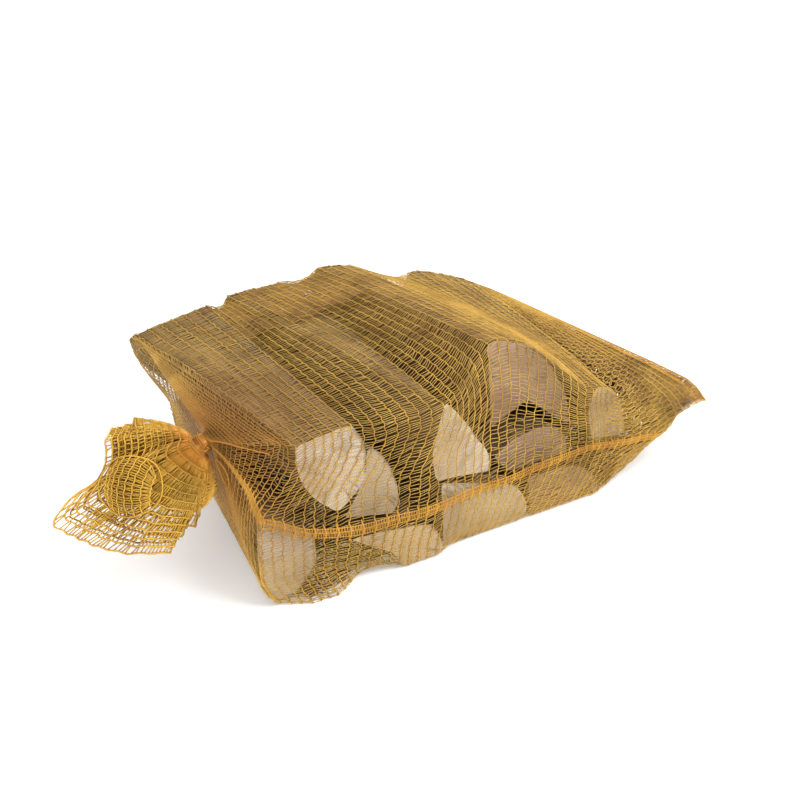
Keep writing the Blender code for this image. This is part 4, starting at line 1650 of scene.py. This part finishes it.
    def looseness(self, row: np.ndarray, column: np.ndarray) -> np.ndarray:
        """How loose the net is, from 0 to 1: loose in the gathers, on the front below the first
        top log, and beyond the logs' right end; taut on top and near the sewn edge.

        Args:
            row: places along the bag.
            column: places round it, in columns.

        Returns:
            The looseness.
        """
        columns = self.skin.points.shape[1]
        off_front = np.abs((column + 0.5 * columns) % columns - 0.5 * columns)
        front = 1.0 - smooth_step(off_front, *self.front_columns)
        first, last = self.skin.first_body, self.skin.last_body
        gathers = 1.0 - smooth_step(row, first - 6.0, first + 4.0)
        below_log = (1.0 - smooth_step(row, first + 10.0, first + 26.0)) * front
        right = smooth_step(row, last - 9.0, last - 1.0) * (1.0 - smooth_step(row, last + 11.0, last + 19.0))
        inside = smooth_step(row, self.skin.frill_count - 1.0, self.skin.frill_count + 6.0)
        loosest = np.maximum(self.loose_gathers * gathers, self.loose_front * below_log)
        return np.maximum(np.maximum(loosest, self.loose_right * right), self.taut) * inside

    def swung(
        self, row: np.ndarray, column: np.ndarray, chain: np.ndarray
    ) -> tuple[np.ndarray, np.ndarray]:
        """Place of a chain where the net is loose: neighbouring chains swing in opposite phase, so
        that they meet in honeycomb cells, and the laid thread bunches where they meet.

        Args:
            row: the chain's row.
            column: place round the bag, in columns.
            chain: number of the chain.

        Returns:
            The row and the column with the swing added.
        """
        columns = self.skin.points.shape[1]
        phase = 2.0 * np.pi * self.wiggle_waves * column / columns + np.pi * chain
        run = self.skin.row_run()
        step = np.interp(row, np.arange(len(run) - 1) + 0.5, np.diff(run))
        loose = self.looseness(row, column)
        moved = np.clip(row + loose * self.wiggle / step * np.sin(phase), 0.0, len(run) - 1.0)
        shift = loose * self.bunching * columns / (2.0 * np.pi * self.wiggle_waves) * np.cos(phase)
        return moved, column + shift

    def stroke_count(self, row: float) -> int:
        """Strokes round the bag in the gap that starts at that row."""
        if row < self.skin.frill_count - 1:
            return self.frill_strokes
        return self.gather_strokes if row < self.skin.first_body - 6 else self.body_strokes

    def chain(self, row: float, number: int) -> tuple[np.ndarray, list[np.ndarray]]:
        """One chain of stitches round the bag, which swells at every stitch.

        Args:
            row: the row that it follows.
            number: its number along the bag.

        Returns:
            Its points and faces.
        """
        first, last, neck = self.skin.first_body, self.skin.last_body, self.skin.frill_count
        loose = neck <= row < first + 26 or row > last - 9
        count = self.frill_points if row < neck - 1 else self.loose_points if loose else self.chain_points
        columns = self.skin.points.shape[1]
        column = np.arange(count) * columns / count
        place, _ = self.swung(np.full(count, row), column, np.full(count, number))
        radius = self.frill_chain_radius if row < neck - 1 else self.chain_radius
        stitches = 1.0 + self.stitch_swell * np.sin(np.arange(count) * self.stitch_turn)
        swell = radius * self.narrowed(row) * stitches
        path, normal = self.skin.laid(place, column, self.chain_lift)
        return tubes(path[None], normal[None], swell[None], True)

    def laid_thread(self, rows: np.ndarray, k: int, dice: Any) -> tuple[np.ndarray, list[np.ndarray]]:
        """The thread laid in between one chain and the next, as strokes whose slant drifts along
        the chain, from square to it to a pitch and a half across.

        Args:
            rows: rows of all chains.
            k: number of the first chain.
            dice: source of its small irregularities.

        Returns:
            Points and faces.
        """
        columns = self.skin.points.shape[1]
        count = self.stroke_count(rows[k])
        in_frill = rows[k] < self.skin.frill_count - 1
        pitch = columns / count
        at = (np.arange(count) + dice.uniform(-self.place_spread, self.place_spread, count)) * pitch
        waves = dice.integers(*self.drift_waves)
        drift = 0.4 + np.sin(at * 2.0 * np.pi / columns * waves + dice.uniform(0.0, 6.3))
        slant = (self.frill_slant if in_frill else self.slant) * drift
        slant = slant + dice.uniform(-self.slant_spread, self.slant_spread, count)
        ends = at + slant * pitch
        low = self.swung(np.full(count, rows[k]), at, np.full(count, k))
        high = self.swung(np.full(count, rows[k + 1]), ends, np.full(count, k + 1))
        shift = low[1] - at
        radius = self.frill_stroke_radius if in_frill else self.stroke_radius
        radius *= self.narrowed(rows[k])
        return strokes(self.skin, (low[0], high[0]), (at + shift, ends + shift), radius)

    def narrowed(self, row: float) -> float:
        """How far a thread narrows: it twists narrow where the bag's girth is small.

        Args:
            row: the thread's row.

        Returns:
            Its width as a share of its own.
        """
        points = self.skin.points[int(row)]
        girth = float(np.linalg.norm(np.roll(points, -1, 0) - points, axis=1).sum())
        return float(np.clip(girth / self.full_girth, self.narrowest, 1.0))

    def cut_area(self, rows: np.ndarray) -> float:
        """Flat area that the threads of those chains and gaps cover in the cut: each thread's
        length times its width, narrowed where the neck draws the net together.

        Args:
            rows: the chains' rows.

        Returns:
            The area in square metres.
        """
        run = np.interp(rows, np.arange(len(self.skin.points)), self.skin.row_run())
        in_frill = rows < self.skin.frill_count - 1
        narrowed = np.array([self.narrowed(row) for row in rows])
        chains = np.where(in_frill, self.frill_chain_radius, self.chain_radius) * 2.0 * self.girth
        count = np.array([self.stroke_count(row) for row in rows[:-1]])
        length = np.hypot(np.diff(run), self.slant * 0.5 * self.girth / count)
        width = np.where(in_frill[:-1], self.frill_stroke_radius, self.stroke_radius) * 2.0
        return float((chains * narrowed).sum() + (count * length * width * narrowed[:-1]).sum())

    def build(self) -> list[Any]:
        """Knits the bag in pieces that each hold a stretch of it, and works out each piece's cut area.

        Returns:
            The pieces.
        """
        rows = self.chain_rows()
        neck = self.skin.frill_count
        names = ("net_frill", "net_left", "net_middle_left", "net_middle_right", "net_right")
        chains, crossings = [ThreadBatch(n) for n in names], [ThreadBatch(n) for n in names]
        body_start = float(rows[rows >= neck].min())
        cuts = np.linspace(body_start, rows[-1] + 1.0, len(names))[1:-1]
        dice = np.random.default_rng(self.seed)
        parts = np.where(rows < neck - 1, 0, 1 + np.searchsorted(cuts, rows))
        for k, row in enumerate(rows):
            chains[parts[k]].add(*self.chain(row, k))
            if k + 1 < len(rows):
                crossings[parts[k]].add(*self.laid_thread(rows, k, dice))
        self.pouch(chains[0], crossings[0])
        net, laid = self.net_finish.material(), self.lay_finish.material()
        frill, frill_laid = self.frill_finish.material(), self.frill_lay_finish.material()
        made = [chains[0].build_with(frill, crossings[0], frill_laid)]
        made += [one.build_with(net, other, laid) for one, other in zip(chains[1:], crossings[1:])]
        trims = {
            made[0]: [self.inner_frill(self.fold_shade_finish.material(), frill_laid)],
            made[2]: [self.side_seam(rows)],
            made[-1]: [self.slack(), self.sewn_edge()],
        }
        run = np.interp(rows, np.arange(len(self.skin.points)), self.skin.row_run())
        for piece in made + sum(trims.values(), []):
            fit_to_bundle(piece, "net_bag")
            LOGGER.info("piece %s: %d faces", piece.name, len(piece.data.polygons))
        for number, piece in enumerate(made):
            own = np.flatnonzero(parts == number)
            own = np.append(own, own[-1] + 1) if own[-1] + 1 < len(rows) else own
            area = self.cut_area(rows[own])
        return made

    def pouch(self, chains: ThreadBatch, crossings: ThreadBatch) -> None:
        """A round pouch of net on the frill's near layer: a rim, arcs of chain across a low dome,
        which is a parabola of the distance from its middle, and strokes from arc to arc.

        Args:
            chains: batch that takes the rim and the arcs.
            crossings: batch that takes the strokes.
        """
        centre, along, across, out = self.form.frill_axes()
        forward, sideways = self.form.pouch_place
        middle = centre + np.array(self.form.zero) + forward * along + sideways * across
        turned = math.radians(self.pouch_turn)
        first_axis = math.cos(turned) * along + math.sin(turned) * across
        second_axis = math.cos(turned) * across - math.sin(turned) * along
        whole = self.pouch_radius

        def dome(u: np.ndarray, v: np.ndarray) -> np.ndarray:
            """Points of the dome at those places along its two axes from its middle."""
            height = self.pouch_lift + self.pouch_rise * (1.0 - (u**2 + v**2) / whole**2)
            return middle + u[..., None] * first_axis + v[..., None] * second_axis + height[..., None] * out

        def arc(offset: float, share: np.ndarray) -> tuple[np.ndarray, np.ndarray]:
            """Places on one arc of chain, which bows and waves.

            Args:
                offset: the arc's distance from the middle, in millimetres.
                share: place along it, from one end at -1 to the other at 1.

            Returns:
                The places along the dome's two axes.
            """
            half = math.sqrt(whole**2 - (offset * MM) ** 2)
            bow = self.pouch_bow * MM * (1.0 - share**2) * (1.0 - (offset * MM / whole) ** 2)
            wave = self.pouch_wave * np.sin(share * 17.0 + offset)
            return self.pouch_arc_spacing * offset * MM + bow + wave, half * share

        angle = np.arange(self.pouch_rim_points) * 2.0 * np.pi / self.pouch_rim_points
        rim = whole * (1.0 + 0.03 * np.sin(2.0 * angle + 0.6) + 0.02 * np.sin(5.0 * angle))
        path = dome(rim * np.cos(angle), rim * np.sin(angle))
        chains.add(*cord(path, out, self.pouch_rim_radius, True))
        share = np.linspace(-1.0, 1.0, self.pouch_arc_points)
        for offset in self.pouch_arcs:
            chains.add(*cord(dome(*arc(offset, share)), out, self.frill_chain_radius))
        ends, count = self.pouch_strokes_reach, int(2.0 * whole / self.pouch_pitch)
        at = np.linspace(-ends, ends, count)
        for first, second in zip(self.pouch_arcs, self.pouch_arcs[1:]):
            (u0, v0), (u1, v1) = arc(first, at), arc(second, at + 0.03 * np.sin(at * 40.0))
            part = np.array([0.0, 0.5, 1.0])
            path = dome(u0[:, None] + (u1 - u0)[:, None] * part, v0[:, None] + (v1 - v0)[:, None] * part)
            radius = np.full(path.shape[:2], self.frill_stroke_radius)
            crossings.add(*tubes(path, np.broadcast_to(out, path.shape), radius, False))

    def inner_frill(self, net: Any, laid: Any) -> Any:
        """The frill's inner folds: shorter layers of the same net between its near and far ones,
        whose chains are darker than the frill's as painted shade.

        Args:
            net: material of the chains.
            laid: material of the laid thread.

        Returns:
            The piece.
        """
        chains, crossings = ThreadBatch("net_frill_folds"), ThreadBatch("net_frill_folds")
        dice = np.random.default_rng(self.seed + 1)
        for reach, lift in self.inner_layers:
            layer = self.form.inner_frill(self.skin, reach, lift)
            run = layer.row_run()
            count = int(round(run[-1] / self.inner_step))
            places = np.linspace(0.0, run[-1] * self.inner_part, count)
            rows = np.interp(places, run, np.arange(len(run)))
            columns = layer.points.shape[1]
            column = np.arange(self.inner_points) * columns / self.inner_points
            for k, row in enumerate(rows):
                path, normal = layer.laid(np.full(len(column), row), column, 0.0)
                chains.add(*cord(path, normal, self.frill_chain_radius, True))
                if k + 1 == len(rows):
                    continue
                count, pitch = self.inner_strokes, columns / self.inner_strokes
                spread, slant = self.inner_place_spread, self.inner_slant_spread
                at = (np.arange(count) + dice.uniform(-spread, spread, count)) * pitch
                ends = at + dice.uniform(-slant, slant, count) * pitch
                crossings.add(*strokes(layer, (row, rows[k + 1]), (at, ends), self.frill_stroke_radius))
        return chains.build_with(net, crossings, laid)

    def slack(self) -> Any:
        """The bag's slack: dense crumpled pleats of net just inside its sheets at the right end,
        low in the gathers and along the two valleys of the top's back edge, with strokes in both
        directions whose depth is a product of a sine along the bag and one round it. Their thread is
        far darker than the bag's, as painted shade inside the bag.

        Returns:
            The piece.
        """
        batch = ThreadBatch("net_slack")
        run = self.skin.row_run()
        dice = np.random.default_rng(self.seed + 2)
        spread, slant = self.pleat_spread, self.pleat_slant
        for first, last, left, right, count in self.pleats:
            start, end = self.skin.first_body + first, self.skin.first_body + last
            span = float(np.diff(np.interp([start, end], np.arange(len(run)), run))[0])
            rows = np.linspace(start, end, int(round(span / self.pleat_step)) + 1)
            pitch = (right - left) / count
            for low, high in zip(rows, rows[1:]):
                at = left + (np.arange(count) + dice.uniform(-spread, spread, count)) * pitch
                ends = np.clip(at + dice.uniform(-slant, slant, count) * pitch, left, right)
                crumple = np.sin(low * self.crumple_turns[0]) * np.sin(at * self.crumple_turns[1])
                lift = -self.pleat_depth * (1.6 + crumple)[:, None]
                points, faces = strokes(self.skin, (low, high), (at, ends), self.pleat_radius, lift, 2, 1.0)
                points[:, 2] = np.maximum(points[:, 2], self.pleat_floor)
                batch.add(points, faces)
        return batch.build(self.slack_shade_finish.material())

    def seam_track(self) -> tuple[np.ndarray, np.ndarray]:
        """Rows and columns of the side seam: the front grid points nearest its path, smoothed.

        Returns:
            The rows and the columns, from the neck to the front ear.
        """
        columns = np.arange(*self.seam_reach)
        front = self.skin.points[self.skin.first_body :, columns % self.skin.points.shape[1]]
        flat = front - np.array(self.form.zero)
        rows = [self.skin.frill_count + row for row, _ in self.seam_gather]
        places = [float(column) for _, column in self.seam_gather]
        for x, z in self.seam_path:
            off = np.hypot(flat[..., 0] - x * MM, flat[..., 2] - z * MM)
            i, j = np.unravel_index(np.argmin(off), off.shape)
            rows.append(float(self.skin.first_body + i))
            places.append(float(columns[j]))
        rows.append(len(self.skin.points) - 1.001)
        places.append(0.0)
        order = np.argsort(rows)
        row = np.linspace(min(rows), max(rows), self.seam_points)
        column = np.interp(row, np.array(rows)[order], np.array(places)[order])
        padded = np.pad(column, self.seam_smoothing, mode="edge")
        width = 2 * self.seam_smoothing + 1
        return row, np.convolve(padded, np.ones(width) / width, mode="valid")

    def side_seam(self, rows: np.ndarray) -> Any:
        """The front side seam: three cords along the bag, a dense zigzag across them, and a short
        thick stretch of thread along each chain that it crosses.

        Args:
            rows: rows of the chains.

        Returns:
            The piece.
        """
        batch = ThreadBatch("net_side_seam")
        row, column = self.seam_track()
        for offset in self.seam_cords:
            path, normal = self.skin.laid(row, column + offset * self.seam_half, self.seam_lift)
            batch.add(*cord(path, normal, self.seam_cord_radius))
        swing = np.where(np.arange(len(row)) % 2 == 0, -1.0, 1.0) * self.seam_half * self.zigzag_reach
        zigzag = (row[:-1], row[1:]), ((column + swing)[:-1], (column + swing)[1:])
        batch.add(*strokes(self.skin, *zigzag, self.zigzag_radius, self.zigzag_lift))
        crossed = rows[rows > self.skin.frill_count + 3.0]
        share = np.linspace(-1.0, 1.0, self.hook_points)
        column_grid = np.interp(crossed, row, column)[:, None] + share * self.hook_half
        row_grid = crossed[:, None] + self.hook_bow * np.cos(share * np.pi)
        row_grid = np.clip(row_grid, 0.0, len(self.skin.points) - 1.0)
        path, normal = self.skin.laid(row_grid, column_grid, self.hook_lift)
        thick = np.broadcast_to(self.hook_radius * np.sqrt(1.05 - share**2), path.shape[:2])
        batch.add(*tubes(path, normal, thick, False))
        return batch.build(self.seam_finish.material())

    def sewn_edge(self) -> Any:
        """The sewn edge at the right: a zigzag on the upper sheet between two cords.

        Returns:
            The piece.
        """
        batch = ThreadBatch("net_sewn_edge")
        last = len(self.skin.points) - 1.0
        ends = self.edge_inset, self.skin.points.shape[1] // 2 - self.edge_inset
        column = np.linspace(*ends, self.edge_points)
        for row in (last, last - self.edge_rows):
            path, normal = self.skin.laid(np.full(len(column), row), column, self.edge_lift)
            batch.add(*cord(path, normal, self.edge_cord_radius))
        at = np.linspace(*ends, self.edge_stitches + 1)
        swing = last - np.where(np.arange(len(at)) % 2 == 0, 0.0, self.edge_rows)
        zigzag = (swing[:-1], swing[1:]), (at[:-1], at[1:])
        batch.add(*strokes(self.skin, *zigzag, self.zigzag_radius, self.edge_zigzag_lift))
        return batch.build(self.seam_finish.material())


@dataclass
class NeckTie:
    """The cord that ties the neck shut: turns round it, a knot in front and two short ends."""

    form: BagSkin
    skin: SkinGrid
    finish: ThreadFinish = ThreadFinish("tie_cord", (0.80, 0.30, 0.028), (0.52, 0.17, 0.014), twist=500.0)
    cord_radius: float = 0.85 * MM
    turns: int = 2
    points_per_turn: int = 48
    turn_gap: float = 1.0 * MM
    knot_radius: float = 2.6 * MM
    knot_points: int = 72
    end_rows: tuple[float, float] = (1.0, 24.0)
    end_columns: tuple[float, float] = (26.0, 22.0)
    end_points: int = 26
    end_lift: float = 1.9 * MM
    loop_rows: tuple[float, float] = (4.0, 12.0)
    loop_column: float = 2.0
    loop_half: float = 5.0
    loop_points: int = 36
    loop_lift: float = 2.2 * MM

    def wound(self, middle: np.ndarray, along: np.ndarray, side: np.ndarray, up: np.ndarray) -> np.ndarray:
        """A helix round the neck, a cord's width further along with each turn.

        Args:
            middle: middle of the neck.
            along: direction of the neck.
            side: direction square to it, away from the bundle's back.
            up: direction square to both.

        Returns:
            The points.
        """
        count = self.turns * self.points_per_turn + 1
        turn = np.linspace(0.0, self.turns * 2.0 * np.pi, count)[:, None]
        shift = (turn / (2.0 * np.pi) - self.turns / 2.0) * 2.1 * self.cord_radius
        radius = self.form.neck_radius + self.turn_gap + self.cord_radius
        return middle + shift * along + radius * (np.cos(turn) * side + np.sin(turn) * up)

    def knot(self, place: np.ndarray, along: np.ndarray, side: np.ndarray, up: np.ndarray) -> np.ndarray:
        """A trefoil: two turns about its middle while it swings in and out three times.

        Args:
            place: its middle.
            along: direction of the neck.
            side: direction of its depth.
            up: direction square to both.

        Returns:
            The points.
        """
        turn = np.linspace(0.0, 2.0 * np.pi, self.knot_points, endpoint=False)[:, None]
        reach = self.knot_radius * (0.75 + 0.38 * np.cos(3.0 * turn))
        flat = np.cos(2.0 * turn) * along + np.sin(2.0 * turn) * up
        return place + reach * flat + 0.45 * self.knot_radius * np.sin(3.0 * turn) * side

    def build(self) -> Any:
        """Builds the turns, the knot, the straight end and the looped end as tubes.

        Returns:
            The piece.
        """
        along = unit(np.array(self.form.frill_along))
        side = unit(np.cross(along, np.array([0.0, 0.0, 1.0])))
        side = -side if side[1] > 0.0 else side
        up = np.cross(side, along)
        middle = np.array(self.form.neck) + along * self.form.neck_length * 0.5 + np.array(self.form.zero)
        batch = ThreadBatch("neck_cord")
        path = self.wound(middle, along, side, up)
        batch.add(*cord(path, unit(path - middle), self.cord_radius))
        place = middle + side * (self.form.neck_radius + self.turn_gap + 2.6 * self.cord_radius)
        path = self.knot(place, along, side, up)
        batch.add(*cord(path, unit(path - place + 0.5 * self.knot_radius * side), self.cord_radius, True))
        rows = self.skin.frill_count + np.linspace(*self.end_rows, self.end_points)
        columns = np.linspace(*self.end_columns, self.end_points)
        batch.add(*cord(*self.skin.laid(rows, columns, self.end_lift), self.cord_radius))
        turn = np.linspace(0.0, 2.0 * np.pi, self.loop_points, endpoint=False)
        low, high = self.loop_rows
        rows = self.skin.frill_count + low + (high - low) * (0.5 - 0.5 * np.cos(turn))
        columns = self.loop_column + self.loop_half * np.sin(turn)
        batch.add(*cord(*self.skin.laid(rows, columns, self.loop_lift), self.cord_radius, True))
        piece = batch.build(self.finish.material())
        LOGGER.info("piece %s", piece.name)
        return fit_to_bundle(piece, "neck_tie")


# Stage


@dataclass
class Studio:
    """Floor, light and camera."""

    lens: float = 63.0
    sensor: float = 36.0
    farthest: float = 60.0
    camera_place: tuple[float, float, float] = (-0.64885, -1.1510, 0.795)
    camera_turn: tuple[float, float, float] = (62.0, 0.0, -31.5)
    floor_size: float = 30.0
    world_strength: float = 0.68
    light_aim: tuple[float, float, float] = (0.0, 0.0, 0.05)
    lights: tuple[tuple[str, tuple[float, float, float], float, float], ...] = (
        ("key_light", (1.1, -1.5, 2.2), 1.6, 62.0),
        ("fill_light", (-1.8, -1.0, 1.6), 2.2, 14.0),
        ("top_light", (0.0, 0.8, 2.6), 2.4, 22.0),
    )

    def build(self) -> None:
        """Makes the floor, the soft lights, the world and the camera."""
        half = self.floor_size / 2.0
        corners = np.array([(-half, -half, 0), (half, -half, 0), (half, half, 0), (-half, half, 0)], float)
        floor = make_piece("floor", corners, [np.array([[0, 1, 2, 3]])], [FloorFinish().material()])
        for light in self.lights:
            self.area(*light)
        world = bpy.data.worlds.new("studio")
        world.use_nodes = True
        background = world.node_tree.nodes["Background"]
        background.inputs["Color"].default_value = (1.0, 1.0, 1.0, 1.0)
        background.inputs["Strength"].default_value = self.world_strength
        scene = bpy.context.scene
        scene.world = world
        scene.view_settings.view_transform = "Standard"
        camera = bpy.data.cameras.new("camera")
        camera.lens = self.lens
        camera.sensor_width = self.sensor
        camera.clip_end = self.farthest
        holder = bpy.data.objects.new("camera", camera)
        holder.location = self.camera_place
        holder.rotation_euler = [math.radians(turn) for turn in self.camera_turn]
        scene.collection.objects.link(holder)
        scene.camera = holder

    def area(self, name: str, place: tuple[float, float, float], size: float, power: float) -> None:
        """Hangs a square soft light that faces the bundle.

        Args:
            name: its name.
            place: where it hangs.
            size: its side.
            power: its power in watts.
        """
        light = bpy.data.lights.new(name, "AREA")
        light.size = size
        light.energy = power
        holder = bpy.data.objects.new(name, light)
        holder.location = place
        aim = Vector(self.light_aim) - Vector(place)
        holder.rotation_euler = aim.to_track_quat("-Z", "Y").to_euler()
        bpy.context.scene.collection.objects.link(holder)


def main() -> None:
    """Builds the logs, the bag, its tie and the studio."""
    logging.basicConfig(level=logging.INFO, format="%(message)s")
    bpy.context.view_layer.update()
    logs = LogPile().build()
    form = BagSkin(logs)
    skin = form.build()
    LOGGER.info("skin of %d by %d points", *skin.points.shape[:2])
    NetBag(skin, form).build()
    NeckTie(form, skin).build()
    Studio().build()


if __name__ == "__main__":
    main()
